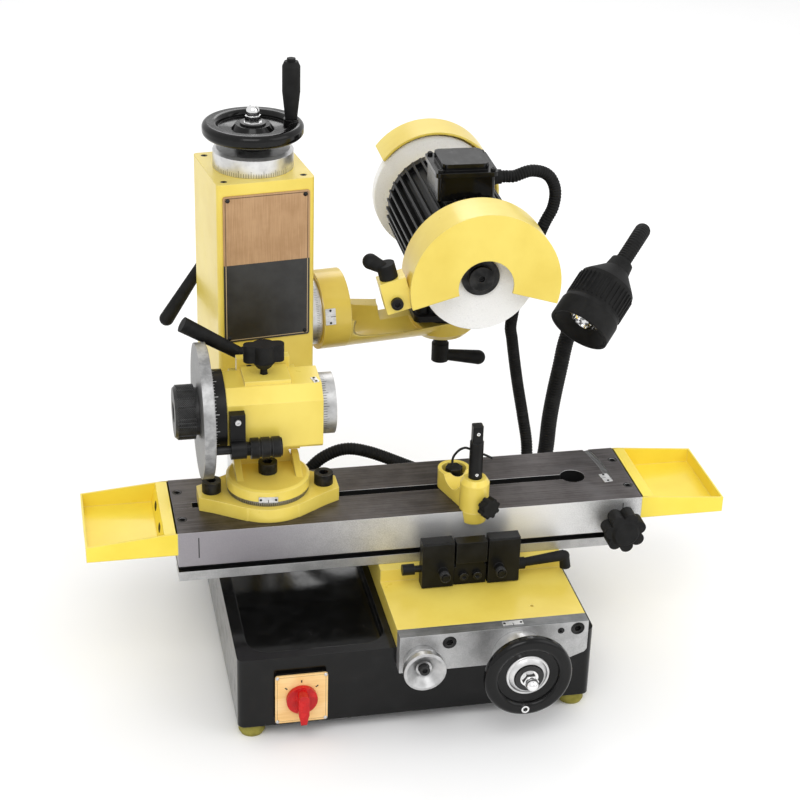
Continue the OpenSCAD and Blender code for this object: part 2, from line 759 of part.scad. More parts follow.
// a wheel guard of radius r round the front end of the motor: band, outer face, strap, hub ring and clamp ear
module guard(r) {
    difference() {
        union() {
            difference() {
                rod_y(r, -guard_y1, -guard_y0);
                rod_y(r - guard_t, -guard_y1 + guard_t, -guard_y0 + 1);
                rod_y(33, -guard_y1 - 1, -guard_y1 + guard_t + 1);
                guard_mouth();
            }
            translate([-18, -guard_y0 - guard_t, bell_r + 4]) cube([36, guard_t, r - bell_r - 6]);
            rod_y(bell_r + 8, -guard_y0 - guard_t, -guard_y0 + 8);
            rotate([0, -guard_drop, 0]) difference() {
                translate([-r - 29, -guard_y1 + 8, 0]) cube([32, 26, 40]);
                rod_y(r - 0.5, -guard_y1, -guard_y0);
                translate([-r - 15, 0, 12]) rod_y(4.5, -guard_y1 + 7, -guard_y1 + 13);
            }
        }
        rod_y(bell_r + fit, -guard_y0 - guard_t - 1, -guard_y0 + 9);
        rotate([0, -guard_drop, 0]) translate([-r - 15, -guard_y1 + 21, 22]) cylinder(r = 4 + fit, h = 30);
    }
}

// the open sector at the foot of a guard
module guard_mouth() {
    a = guard_drop;
    rotate([90, 0, 0]) translate([0, 0, guard_y0 - 1]) linear_extrude(guard_d + 2)
        polygon([[0, 0], [150 * cos(a), -150 * sin(a)], [120, -170], [-120, -170], [-150 * cos(a), -150 * sin(a)]]);
}

// front guard
module guard_front() {
    color("khaki") at_motor() guard(guard_r);
}

// rear guard, the same casting turned end for end and swung open to the lower left
module guard_rear() {
    color("khaki") at_motor() rotate([0, 52, 0]) rotate([0, 0, 180]) guard(rear_guard_r);
}

// clamp lever on the front guard ear
module guard_lever() {
    color("black") at_motor() rotate([0, -guard_drop, 0])
        translate([-guard_r - 15, -guard_y1 + 21, 40 + gap]) {
            translate([0, 0, -12]) cylinder(r = 4, h = 13);
            rotate(160) clamp_lever(11, 18, 21, 40);
        }
}

// saddle with cross way slot and the raised way for the table slide
module saddle() {
    color("khaki") difference() {
        union() {
            translate([saddle_x - saddle_w / 2, -base_front, saddle_z]) cube([saddle_w, saddle_back + base_front, saddle_t]);
            translate([saddle_x - saddle_w / 2, riser_y0, saddle_top]) cube([saddle_w, riser_y1 - riser_y0, riser_h]);
            translate([saddle_x - saddle_w / 2, mid_y, riser_top]) rotate([90, 0, 90]) linear_extrude(saddle_w)
                dovetail(way_neck, way_flare, way_h, 0);
        }
        translate([saddle_x, saddle_back + 1, saddle_z - gap]) rotate([90, 0, 0])
            linear_extrude(saddle_back + base_front + 2)
            dovetail(cross_way_neck, cross_way_flare, cross_way_h + gap, gap);
        translate([cross_x + 25, -base_front + 24, saddle_top - 8]) cylinder(r = 2, h = 9);
    }
}

// front plate of the saddle with bearing holes and an arched foot
module saddle_plate() {
    x0 = saddle_x - saddle_w / 2;
    z0 = saddle_top - plate_h;
    color("silver") difference() {
        translate([0, plate_y + plate_t, 0]) rotate([90, 0, 0]) linear_extrude(plate_t)
            polygon([[x0, z0], [cross_x + 62, z0], [cross_x + 78, z0 + 6], [x0 + saddle_w, z0 + 10],
                [x0 + saddle_w, saddle_top], [x0, saddle_top]]);
        translate([cross_x, 0, cross_z]) rod_y(cross_screw_r + fit, plate_y - 1, plate_y + plate_t + 1);
        translate([-knob_left, 0, cross_z + 2]) rod_y(7 + fit, plate_y - 1, plate_y + plate_t + 1);
        for (p = saddle_screws) translate([p[0], 0, p[1]]) rod_y(8 + fit, plate_y - 1, plate_y + 8);
        translate([cross_x + 49, 0, saddle_top - 10]) rod_y(4, plate_y - 1, plate_y + 4);
    }
}

// places of the front plate screws
saddle_screws = [[saddle_x - 52, saddle_top - 12], [saddle_x + 96, saddle_top - 9]];

// front plate screws, oiler and fixed stop screws
module saddle_bolts() {
    color("black") {
        for (p = saddle_screws) translate([p[0], plate_y + 8, p[1]]) rotate([90, 0, 0]) socket_head(7.9, 8);
        translate([cross_x + 49, plate_y + 4, saddle_top - 10]) rotate([90, 0, 0]) {
            cylinder(r = 4, h = 4);
            translate([0, 0, 4]) sphere(r = 2.2);
        }
        for (dx = [-8, 8]) translate([stop_x + dx, stop_y0 + 4, stop_z0 + 11]) rotate([90, 0, 0]) socket_head(5, 5);
    }
}

// fixed stop on the saddle
module fixed_stop() {
    color("black") difference() {
        union() {
            translate([stop_x - 19, stop_y0 + 4, saddle_top]) cube([38, riser_y0 - stop_y0 - 4, 24]);
            translate([stop_x - 18, stop_y0 - 1, saddle_top + 31]) cube([36, 15, 27]);
            translate([stop_x - 17, stop_y0 + 4, saddle_top + 24]) cube([34, 10, 7]);
        }
        for (dx = [-8, 8]) translate([stop_x + dx, 0, saddle_top + 12.5]) rod_y(1, stop_y0 + 3, stop_y0 + 5);
    }
}

// cross feed screw
module cross_screw() {
    color("silver") translate([cross_x, 0, cross_z]) {
        rod_y(cross_screw_r, plate_y - gap, 60);
        rod_y(cross_screw_r - 2, cross_wheel_y - 8, plate_y - gap);
    }
}

// graduated dial of the cross feed
module cross_dial() {
    color("gainsboro") translate([cross_x, plate_y - gap, cross_z]) difference() {
        union() {
            rod_y(30, -cross_dial_d + 4, 0);
            rod_y(27, -cross_dial_d, -cross_dial_d + 4);
        }
        rod_y(cross_screw_r - 2, -cross_dial_d - 1, 1);
    }
}

// cross feed handwheel
module cross_handwheel() {
    color("black") translate([cross_x, cross_wheel_y, cross_z]) difference() {
        rotate([90, 0, 0]) handwheel(cross_r, plate_y - gap - cross_dial_d - cross_wheel_y, cross_screw_r - 2);
        rotate([0, 184, 0]) translate([0, 0, cross_r - 10]) rod_y(4.5, -20, 20);
    }
}

// cap nut with washer, and the empty handle bush
module cross_cap() {
    color("white") translate([cross_x, cross_wheel_y, cross_z]) {
        translate([0, -cross_r * 0.093, 0]) rotate([90, 0, 0]) difference() {
            union() {
                cylinder(r = 16, h = 2);
                translate([0, 0, 2]) acorn(9, 8);
            }
            translate([0, 0, -1]) cylinder(r = cross_screw_r - 2, h = 4.4);
        }
        rotate([0, 184, 0]) translate([0, 0, cross_r - 10]) difference() {
            rod_y(4.5, -9, 4);
            rod_y(2.6, -10, 5);
        }
    }
}

// table traverse knob with its shaft
module table_knob() {
    color("silver") translate([-knob_left, plate_y - gap, cross_z + 2]) {
        rotate([90, 0, 0]) rotate_extrude() polygon([[0, 0], [knob_r - 4, 0], [knob_r - 4, 7], [knob_r - 6, 8],
            [knob_r - 6, 12], [knob_r - 3, 14], [knob_r, 16], [knob_r, 23], [knob_r - 3, 24], [9, 15], [0, 15]]);
        rod_y(7, 0, plate_t - 1);
        translate([0, -15, 0]) rotate([90, 0, 0]) socket_head(6, 6);
    }
}

// lower slide of the table with the stop groove
module table_slide() {
    color("silver") difference() {
        translate([-table_len / 2, 0, slide_z]) cube([table_len, table_w, slide_top - slide_z]);
        translate([-table_len / 2 - 1, -1, groove_z]) cube([table_len + 2, groove_d + 1, groove_h + 1]);
        translate([-table_len / 2 - 1, mid_y, riser_top]) rotate([90, 0, 90]) linear_extrude(table_len + 2)
            dovetail(way_neck, way_flare, way_h + gap, gap);
        cylinder_at([0, mid_y, slide_z + 9], 10 + fit, 20);
    }
}

// a plain hole at a point
module cylinder_at(p, r, h) {
    translate(p) cylinder(r = r, h = h);
}

// swivelling upper table with tee slot and scale recess
module table() {
    x0 = -table_len / 2;
    x1 = table_len / 2;
    color("gray") difference() {
        union() {
            translate([x0, 0, table_z]) cube([table_len, table_w, table_t]);
            translate([0, mid_y, slide_z + 9.5]) cylinder(r = 10, h = 20);
        }
        translate([x0 - 1, mid_y - slot_w / 2, table_top - 13]) cube([table_len - slot_end + 1, slot_w, 14]);
        translate([x0 - 1, mid_y - slot_foot_w / 2, table_top - 22]) cube([table_len - slot_end + 1, slot_foot_w, 9]);
        cylinder_at([x1 - slot_end, mid_y, table_top - 22], slot_entry_r, 23);
        difference() {
            cylinder_at([0, mid_y, table_top - 2], x1 - 22, 3);
            cylinder_at([0, mid_y, table_top - 3], x1 - 29, 5);
            translate([x0 - 1, -1, table_top - 4]) cube([table_len / 2 + 1 + x1 * 0.5, table_w + 2, 6]);
            translate([0, -1, table_top - 4]) cube([x1 + 1, 47, 6]);
        }
        for (p = [[x0 + 8, 31], [x0 + 8, 94], [x1 - 8, 31], [x1 - 8, 94], [x0 + 23, mid_y + 2]])
            cylinder_at([p[0], p[1], table_top - 5], 4, 6);
        translate([x1 - 28, 0, table_z + 15]) rod_y(6 + fit, -1, 22);
    }
}

// the left tray
module bin() {
    x0 = -table_len / 2 - bin_len;
    x1 = -table_len / 2;
    z0 = table_top - bin_h;
    difference() {
        translate([0, table_w, 0]) rotate([90, 0, 0]) linear_extrude(table_w)
            polygon([[x0, z0], [x1, z0], [x1, table_top - 0.5], [x1 - 8, table_top - 0.5], [x0, z0 + bin_out_h]]);
        translate([x0 + sheet, sheet, z0 + sheet]) cube([bin_len - 2 * sheet, table_w - 2 * sheet, bin_h]);
        for (y = [31, 94]) translate([x1, y, table_top - 14]) rotate([0, 90, 0])
            linear_extrude(20, center = true) round_rect(7, 14, 3.4);
    }
}

// both trays
module trays() {
    color("khaki") {
        bin();
        mirror([1, 0, 0]) bin();
    }
}

// lobed knob that clamps the swivel of the table
module swivel_knob() {
    color("black") translate([table_len / 2 - 28, 0, table_z + 15]) {
        rod_y(6, -6, 20);
        rod_y(13, -12, -gap);
        translate([0, -12, 0]) rotate([90, 0, 0]) {
            lobed(17.5, 7, 8, 20);
            translate([0, 0, 19]) cylinder(r1 = 18, r2 = 14, h = 4);
        }
    }
}

// a stop block with stem in the groove and a sprung stud
module stop_block(side) {
    difference() {
        union() {
            translate([-stop_w / 2, stop_y0, stop_z0]) cube([stop_w, stop_y1 - stop_y0, stop_h]);
            translate([-12, stop_y1 - 1, groove_z + gap]) cube([24, groove_d - stop_y1 - 1, groove_h - 2 * gap]);
            translate([side * 6, 0, stop_z0 + 20]) rod_y(6, stop_y0 - 8, stop_y0);
            translate([side * 6, 0, stop_z0 + 20]) rod_y(4, stop_y0 - 15, stop_y0 - 8);
        }
        translate([-stop_w, stop_y0 - 1, stop_z0 + stop_h - 3]) rotate([45, 0, 0]) cube([2 * stop_w, 3, 3]);
    }
}

// left stop with its adjusting screw
module stop_left() {
    color("black") translate([stop_x - stop_w - 2, 0, 0]) {
        stop_block(1);
        translate([0, (stop_y0 + stop_y1) / 2, stop_z0 + 22]) {
            rod_x(4, -stop_w / 2 - 22, -stop_w / 2);
            rod_x(6.5, -stop_w / 2 - 22, -stop_w / 2 - 8);
        }
    }
}

// right stop
module stop_right() {
    color("black") translate([stop_x + stop_w + 2, 0, 0]) difference() {
        stop_block(-1);
        translate([0, (stop_y0 + stop_y1) / 2, stop_z0 + 18]) rod_x(5 + fit, stop_w / 2 - 12, stop_w / 2 + 1);
    }
}

// lever on the right stop, bent down at its end
module stop_lever() {
    color("black") translate([stop_x + 1.5 * stop_w + 2, (stop_y0 + stop_y1) / 2, stop_z0 + 18]) {
        rod_x(5, -11, 3);
        rod_x(7, gap, 8);
        rotate([0, -6, 0]) translate([6, 0, 0]) rotate([0, 90, 0]) cylinder(r1 = 5, r2 = 6.5, h = 50);
        translate([56, 0, 5]) rotate([0, 172, 0]) cylinder(r1 = 6, r2 = 6.5, h = 15);
        translate([56, 0, 5]) sphere(r = 6.4);
    }
}

// foot plate of the work head
module head_foot() {
    color("khaki") at_head() translate([0, 0, table_top]) difference() {
        linear_extrude(head_foot_t) {
            circle(54);
            polygon([[-81, -14], [-66, -22], [-30, -46], [30, -46], [66, -22], [81, -14], [81, 14], [66, 22],
                [30, 46], [-30, 46], [-66, 22], [-81, 14]]);
        }
        for (s = [-1, 1]) translate([s * 65, 0, -1]) cylinder(r = 6, h = head_foot_t + 2);
        translate([0, 0, -1]) cylinder(r = 6, h = head_foot_t + 2);
    }
}

// foot screws and swivel screw of the work head, and the tooth rest nut
module table_clamps() {
    color("black") {
        at_head() {
            for (s = [-1, 1]) translate([s * 65, 0, 0]) {
                translate([0, 0, table_top - 21]) cylinder(r = 5.8, h = 22 + head_foot_t);
                translate([0, 0, table_top - 21]) cylinder(r = 9, h = 7);
                translate([0, 0, table_top + head_foot_t]) socket_head(11, 14);
            }
            translate([0, 0, table_top]) cylinder(r = 6, h = head_foot_t + swivel_t + 2 * gap);
            translate([0, 0, swivel_z + swivel_t + gap]) socket_head(11, 13);
        }
        translate([nut_x, nut_y, 0]) {
            translate([0, 0, table_top - 21]) cylinder(r = 5.8, h = 42);
            translate([0, 0, table_top - 21]) cylinder(r = 9, h = 7);
            translate([0, 0, table_top + 12]) cylinder(r = 12, h = 2);
            translate([0, 0, table_top + 14]) cylinder(r = 10.5, h = 11, $fn = 6);
        }
    }
}

// swivel bracket: round foot, ribs and the wall that holds the tilt pivot
module head_swivel() {
    color("khaki") at_head() difference() {
        union() {
            translate([0, 0, swivel_z]) cylinder(r = swivel_r - 1.5, h = 7);
            translate([0, 0, swivel_z + 6]) cylinder(r = swivel_r, h = swivel_t - 8);
            translate([0, 0, swivel_z + swivel_t - 2]) cylinder(r1 = swivel_r, r2 = swivel_r - 3, h = 2);
            translate([0, 35, 0]) rotate([90, 0, 0]) linear_extrude(13) {
                translate([0, tilt_z]) circle(24);
                polygon([[-40, swivel_z + 4], [40, swivel_z + 4], [23, tilt_z + 4], [-23, tilt_z + 4]]);
            }
            for (s = [-1, 1]) translate([s * 34 - 4, 0, 0]) rotate([90, 0, 90]) linear_extrude(8)
                polygon([[-26, swivel_z + swivel_t - 3], [24, swivel_z + swivel_t - 3], [24, tilt_z - 6], [14, tilt_z - 6]]);
        }
        translate([0, 0, swivel_z - 1]) cylinder(r = 6 + gap, h = swivel_t + 2);
        translate([0, 0, tilt_z]) rod_y(9 + fit, 21, 36);
    }
}

// head body with tilt lug, split clamp and spindle bore
module head_body() {
    half = head_w / 2;
    cham = 15;
    color("khaki") at_head() difference() {
        union() {
            translate([body_x0, 0, head_z]) rotate([90, 0, 90]) linear_extrude(head_len)
                polygon([[-half, -half + 4], [-half + 4, -half], [half - 4, -half], [half, -half + 4], [half, half - cham],
                    [half - cham, half], [-half + cham, half], [-half, half - cham]]);
            translate([-32, 22, head_z + half - 8]) cube([60, 11, 22]);
            translate([-28, -20, head_z + half - 4]) cube([52, 41, 9]);
            difference() {
                translate([0, 0, tilt_z]) rod_y(44, lug_y0 - head_y, lug_y0 - head_y + 20);
                translate([-50, lug_y0 - head_y - 1, tilt_z - 62]) cube([100, 22, 50]);
            }
            translate([-38, lug_y0 - head_y, tilt_z]) cube([76, 20, head_z - tilt_z + 24]);
            translate([0, 0, tilt_z]) rod_y(9, 22, lug_y0 - head_y + 2);
        }
        translate([0, 0, head_z]) rod_x(spindle_r + fit, body_x0 - 1, body_x1 + 1);
        translate([-4, 0, head_z + half - 4]) cylinder(r = 4.5, h = 20);
        translate([-18, 0, head_z + half + 2]) rod_y(4 + fit, 20, 40);
    }
}

// spindle with its through bore and knurled nose
module head_spindle() {
    color("dimgray") at_head() translate([0, 0, head_z]) difference() {
        union() {
            rod_x(spindle_r, -90, body_x1 + 18);
            translate([-79, 0, 0]) rotate([0, -90, 0]) {
                cylinder(r = 27, h = 4);
                translate([0, 0, 4]) cylinder(r = 30.5, h = 20);
                translate([0, 0, 24]) cylinder(r1 = 30.5, r2 = 28, h = 3);
                for (i = [0:39]) rotate(i * 9) translate([30.3, 0, 4]) cylinder(r = 1.2, h = 20, $fn = 16);
            }
        }
        rod_x(spindle_bore_r, -120, body_x1 + 20);
    }
}

// index plate and rear dial on the spindle
module head_dials() {
    color("silver") at_head() translate([0, 0, head_z]) difference() {
        union() {
            rod_x(index_r, -79, -67);
            rod_x(index_r - 3, -67, -66);
            rod_x(35, body_x1 + 0.4, body_x1 + 16);
        }
        rod_x(spindle_r, -80, body_x1 + 17);
        for (i = [0:23]) rotate([i * 15, 0, 0]) translate([0, 0, 52]) rod_x(2.6, -72, -60);
    }
}

// black index ring on the spindle
module head_ring() {
    color("black") at_head() translate([0, 0, head_z]) difference() {
        rod_x(46, -66, body_x0 - 0.6);
        rod_x(spindle_r, -67, body_x0);
    }
}

// bracket of the index plunger
module head_bracket() {
    half = head_w / 2;
    color("black") at_head() difference() {
        union() {
            translate([body_x0 + 2, -half - 12, head_z - 28]) cube([17, 12, 44]);
            translate([0, -half - 12, head_z - 26]) rod_x(11, body_x0 + 2, body_x0 + 19);
        }
        translate([0, -half - 12, head_z - 26]) rod_x(5 + fit, body_x0 + 1, body_x0 + 20);
        translate([body_x0 + 10.5, 0, head_z + 8]) rod_y(2, -half - 13, -half - 9);
    }
}

// index plunger with knurled grip
module head_plunger() {
    half = head_w / 2;
    x0 = body_x0 + 19 + gap;
    color("black") at_head() translate([0, -half - 12, head_z - 26]) {
        rod_x(5, -65.5, x0);
        rod_x(8, x0, x0 + 5);
        for (k = [0:2]) rod_x(12, x0 + 5 + k * 12, x0 + 14 + k * 12);
        rod_x(10.5, x0 + 5, x0 + 40);
    }
}

// winged knob of the split clamp
module head_knob() {
    z0 = head_z + head_w / 2 + 5 + gap;
    color("black") at_head() translate([-4, 0, z0]) {
        translate([0, 0, -8]) cylinder(r = 4, h = 20);
        translate([0, 0, 8]) cylinder(r1 = 8, r2 = 14, h = 8);
        translate([0, 0, 16]) linear_extrude(20) {
            round_rect(46, 15, 7);
            circle(13);
        }
    }
}

// tapered lever behind the clamp knob
module head_lever() {
    color("black") at_head() translate([-18, 0, head_z + head_w / 2 + 2]) {
        rod_y(4, 22, 33 + 1);
        rod_y(9, 33 + gap, 61);
        translate([0, 53, 0]) rotate([0, -58, 0]) cylinder(r1 = 7, r2 = 9.2, h = 84);
    }
}

// tooth rest bracket
module rest_bracket() {
    color("khaki") difference() {
        union() {
            translate([rest_x, rest_y, table_top - 15]) cylinder(r1 = 15, r2 = 17.5, h = 15);
            translate([rest_x, rest_y, table_top]) cylinder(r = 17, h = 34);
            translate([rest_x, rest_y, table_top + 34]) cylinder(r1 = 17, r2 = 13, h = 6);
            translate([nut_x, nut_y, table_top]) cylinder(r = 19, h = 12);
            translate([0, 0, table_top]) linear_extrude(24)
                polygon([[rest_x + 16.5, rest_y + 4], [nut_x + 19, nut_y - 3], [nut_x - 19, nut_y - 3], [rest_x - 16.5, rest_y + 4]]);
            difference() {
                translate([nut_x, nut_y, table_top]) cylinder(r = 19, h = 24);
                translate([nut_x, nut_y, table_top + 11]) cylinder(r = 14.5, h = 20);
            }
        }
        translate([rest_x - 40, -gap, table_top - 16]) cube([80, 60, 16]);
        translate([(rest_x + nut_x) / 2, (rest_y + nut_y) / 2, table_top + 33])
            rotate(atan2(rest_x - nut_x, nut_y - rest_y)) rod_x(19, -40, 40);
        translate([nut_x, nut_y, table_top - 1]) cylinder(r = 6, h = 30);
        translate([nut_x, nut_y, table_top + 12]) cylinder(r = 14.5, h = 30);
        translate([rest_x, rest_y, table_top - 2]) cylinder(r = rest_post_r + fit, h = 50);
        translate([rest_x, rest_y, table_top + 12]) rotate(25) rod_y(3.5 + fit, -20, -rest_post_r);
    }
}

// tooth rest post with reduced head and wire finger
module rest_post() {
    color("black") translate([rest_x, rest_y, table_top]) {
        difference() {
            union() {
                translate([0, 0, 14]) cylinder(r = rest_post_r, h = 72);
                translate([0, 0, 86]) linear_extrude(21) round_rect(12, 12, 2);
            }
            translate([0, 0, 46]) rod_y(2.2, -12, -5);
            translate([0, 0, 98]) rod_y(2.2, -12, -3);
            translate([0, 0, 73]) rotate([0, atan(0.5), 0]) rod_x(1.5, -20, 20);
        }
        tube(smooth(finger_path, 4), 1.45, 8);
    }
}

// lobed knob that clamps the post
module rest_knob() {
    color("black") translate([rest_x, rest_y, table_top + 12]) rotate(25) {
        rod_y(3.5, -22, -rest_post_r - gap);
        rod_y(6, -22, -17 - gap);
        translate([0, -22, 0]) rotate([90, 0, 0]) lobed(10.5, 8, 2.6, 10);
    }
}

// ribbed conduit from the motor to the base
module conduit() {
    color("black") tube(smooth(conduit_path, 4), conduit_r, 10);
}

// lamp gooseneck with its socket on the base
module lamp_neck() {
    color("black") tube(smooth(neck_path, 5), neck_dia / 2, 12);
}

// frame of the lamp head, with Z along its beam
module at_lamp() {
    tilt = acos(lamp_dir[2] / norm(lamp_dir));
    turn = atan2(lamp_dir[1], lamp_dir[0]);
    translate(lamp_from) rotate([0, tilt, turn]) children();
}

// lamp head: tapered rear, ribbed barrel and flared rim
module lamp_head() {
    color("black") at_lamp() difference() {
        union() {
            rotate_extrude() polygon([[0, 0], [15, 0], [17, 14], [lamp_r - 6, 34], [lamp_r - 3, 38], [lamp_r - 2, 78],
                [lamp_r, 84], [lamp_r, lamp_len], [0, lamp_len]]);
            for (i = [0:35]) rotate(i * 10 + 5) translate([lamp_r - 4, -1, 43]) cube([3, 2, 31]);
        }
        translate([0, 0, 40]) cylinder(r1 = 14, r2 = lamp_r - 3, h = lamp_len - 39.9);
    }
}

// lamp bulb
module lamp_bulb() {
    color("white") at_lamp() {
        translate([0, 0, 40]) cylinder(r = 9, h = 16);
        translate([0, 0, 56]) cylinder(r1 = 9, r2 = 18, h = 14);
        translate([0, 0, 70]) cylinder(r1 = 18, r2 = 17, h = 3);
    }
}

frame() base();
frame() feet();
frame() switch_box();
frame() switch_plate();
frame() switch_knob();
frame() column_post();
frame() conduit();
frame() lamp_neck();
frame() lamp_head();
frame() lamp_bulb();
frame() lift_nut();
frame() column_housing();
frame() nameplate();
frame() lift_screw();
frame() lift_dial();
frame() lift_handwheel();
frame() lift_cap();
frame() lift_handle();
frame() column_lock();
frame() arm();
frame() pad_lever();
frame() motor_frame();
frame() motor_base();
frame() terminal_box();
frame() cable_gland();
frame() motor_shaft();
frame() wheels();
frame() guard_front();
frame() guard_rear();
frame() guard_lever();
frame() saddle();
frame() saddle_plate();
frame() saddle_bolts();
frame() fixed_stop();
frame() cross_screw();
frame() cross_dial();
frame() cross_handwheel();
frame() cross_cap();
frame() table_knob();
frame() table_slide();
frame() table();
frame() trays();
frame() swivel_knob();
frame() stop_left();
frame() stop_right();
frame() stop_lever();
frame() head_foot();
frame() table_clamps();
frame() head_swivel();
frame() head_body();
frame() head_spindle();
frame() head_dials();
frame() head_ring();
frame() head_bracket();
frame() head_plunger();
frame() head_knob();
frame() head_lever();
frame() rest_bracket();
frame() rest_post();
frame() rest_knob();
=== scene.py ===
import json
import math
import bpy
import numpy as np
from mathutils import Matrix, Vector


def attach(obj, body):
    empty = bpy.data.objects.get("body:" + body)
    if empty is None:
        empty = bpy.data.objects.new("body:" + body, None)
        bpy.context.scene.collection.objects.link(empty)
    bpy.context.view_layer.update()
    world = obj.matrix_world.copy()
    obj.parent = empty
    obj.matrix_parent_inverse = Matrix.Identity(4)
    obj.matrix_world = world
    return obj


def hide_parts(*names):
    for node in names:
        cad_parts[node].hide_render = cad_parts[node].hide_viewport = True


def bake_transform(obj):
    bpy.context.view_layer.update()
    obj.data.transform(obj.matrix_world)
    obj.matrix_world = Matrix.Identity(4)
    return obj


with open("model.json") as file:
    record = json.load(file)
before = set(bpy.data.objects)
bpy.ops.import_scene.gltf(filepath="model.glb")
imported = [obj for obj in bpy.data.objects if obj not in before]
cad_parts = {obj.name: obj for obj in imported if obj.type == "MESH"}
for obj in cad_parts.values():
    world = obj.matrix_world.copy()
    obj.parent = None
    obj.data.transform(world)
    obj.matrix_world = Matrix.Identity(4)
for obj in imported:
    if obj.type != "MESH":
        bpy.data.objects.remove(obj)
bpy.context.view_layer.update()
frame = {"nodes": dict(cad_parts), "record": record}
scene = bpy.context.scene
NODES = frame["nodes"]
Y_MID = 142.74


# Places. The layout counts millimetres, Y from the front edge of the table.
def at(x, y, z):
    """A layout point in millimetres, moved into the frame, in metres."""
    return np.array([x, y - Y_MID, z], float) / 1000


def turn_z(deg):
    """The matrix that turns about Z by so many degrees."""
    a = math.radians(deg)
    return np.array([[math.cos(a), -math.sin(a), 0], [math.sin(a), math.cos(a), 0], [0, 0, 1]])


def place(origin, x, z):
    """A place: its origin in metres and a matrix whose columns are its X, Y and Z directions."""
    x, z = np.array(x, float), np.array(z, float)
    z = z / np.linalg.norm(z)
    x = x - z * (x @ z)
    x = x / np.linalg.norm(x)
    return np.array(origin, float), np.stack([x, np.cross(z, x), z], axis=1)


# Directions; a skew one serves where the turn about an axis doesn't matter.
UP, RIGHT, FRONT = (0, 0, 1), (1, 0, 0), (0, -1, 0)
SKEW = (0.31, 0.2, 0.93)
# Places that several pieces share, in metres, and the table's screws in layout millimetres.
SPINDLE, HEAD_FOOT = at(-162.5, 62, 327.6), at(-162.5, 62, 0)
CROSS_AXLE, TABLE_FACE = at(93.5, 0, 94), at(0, 62, 206.6)
TABLE_SCREWS = [(x, y) for x in (-264.5, 264.5) for y in (31, 94)]
# The switch plate's middle in layout millimetres, and the heights in metres of the groove in the slide's front.
SWITCH = -150.5, -120, 54
STOP_GROOVE = 0.1553, 0.1635
# Frames of the column, of the pad under the motor and of the motor, each an origin and a turn.
COLUMN = at(-153.5, 242, 0), turn_z(7.7)
PAD = COLUMN[0] + COLUMN[1] @ np.array([0.253, 0.028, 0]), turn_z(-0.9)
MOTOR = PAD[0] + PAD[1] @ np.array([0.012, 0, 0.432]), PAD[1]


def inside(frame_of, x, y, z):
    """A point given in millimetres in one of the frames above, in metres in the shared frame."""
    return frame_of[0] + frame_of[1] @ (np.array([x, y, z], float) / 1000)


# Camera at the photograph's angle.
CAMERA_TURN = 13.08, 26.58, 2.14
FOCAL_PIXELS, PHOTO_PIXELS, SENSOR = 1882.53, 800, 36


def camera():
    """The camera solved from the photograph: yaw, pitch and roll in degrees, the focal length in pixels."""
    yaw, pitch, roll = (math.radians(a) for a in CAMERA_TURN)
    ahead = np.array([math.sin(yaw) * math.cos(pitch), math.cos(yaw) * math.cos(pitch), -math.sin(pitch)])
    side = np.array([math.cos(yaw), -math.sin(yaw), 0])
    top = np.cross(side, ahead)
    right = side * math.cos(roll) + top * math.sin(roll)
    up = -side * math.sin(roll) + top * math.cos(roll)
    data = bpy.data.cameras.new("camera")
    data.sensor_width = SENSOR
    data.lens = FOCAL_PIXELS / PHOTO_PIXELS * SENSOR
    data.shift_x = -0.031
    data.shift_y = -0.0078
    data.clip_end = 60
    eye = bpy.data.objects.new("camera", data)
    m = Matrix.Identity(4)
    for i in range(3):
        m[i][0], m[i][1], m[i][2] = right[i], up[i], -ahead[i]
    m.translation = at(-418.6, -1823.3, 1298.7)
    eye.matrix_world = m
    scene.collection.objects.link(eye)
    scene.camera = eye


camera()


# Mesh surfaces.
SHARP_EDGE = math.radians(35)


def grid_faces(rows, cols, caps=True):
    """Quads over a grid of rows by cols points whose last column joins the first; caps close both ends."""
    i, j = np.meshgrid(np.arange(rows - 1), np.arange(cols), indexing="ij")
    k = (j + 1) % cols
    quads = np.stack([i * cols + j, i * cols + k, (i + 1) * cols + k, (i + 1) * cols + j], -1).reshape(-1, 4)
    faces = quads.tolist()
    if caps:
        faces.append(list(range(cols))[::-1])
        faces.append(list(range((rows - 1) * cols, rows * cols)))
    return faces


def spin(profile, where, sides):
    """The points of a turned form: radius and height pairs in millimetres, spun about the Z of a place."""
    p = np.array(profile, float) / 1000
    a = np.linspace(0, 2 * np.pi, sides, endpoint=False)
    r, z = p[:, :1], p[:, 1:]
    v = np.stack([r * np.cos(a), r * np.sin(a), z + 0 * a], -1).reshape(-1, 3)
    return where[0] + v @ where[1].T


def revolve(profile, where, sides):
    """A turned form, closed by a flat face at both ends of its profile."""
    return spin(profile, where, sides), grid_faces(len(profile), sides)


def ring(profile, where, sides=64):
    """A turned form whose profile closes on itself, such as a washer or a sleeve."""
    return spin(profile + profile[:1], where, sides), grid_faces(len(profile) + 1, sides, caps=False)


def slab(outline, low, high, where, bevel=0.3):
    """A plate: an outline in millimetres raised from low to high, its top edge pulled in by the bevel."""
    o = np.array(outline, float)
    c = o.mean(0)
    span = np.linalg.norm(o - c, axis=1).max()
    inner = c + (o - c) * (1 - bevel / span)
    rows = [np.c_[q, np.full(len(o), h)] for q, h in ((o, low), (o, high - bevel), (inner, high))]
    v = np.concatenate(rows) / 1000
    return where[0] + v @ where[1].T, grid_faces(3, len(o))


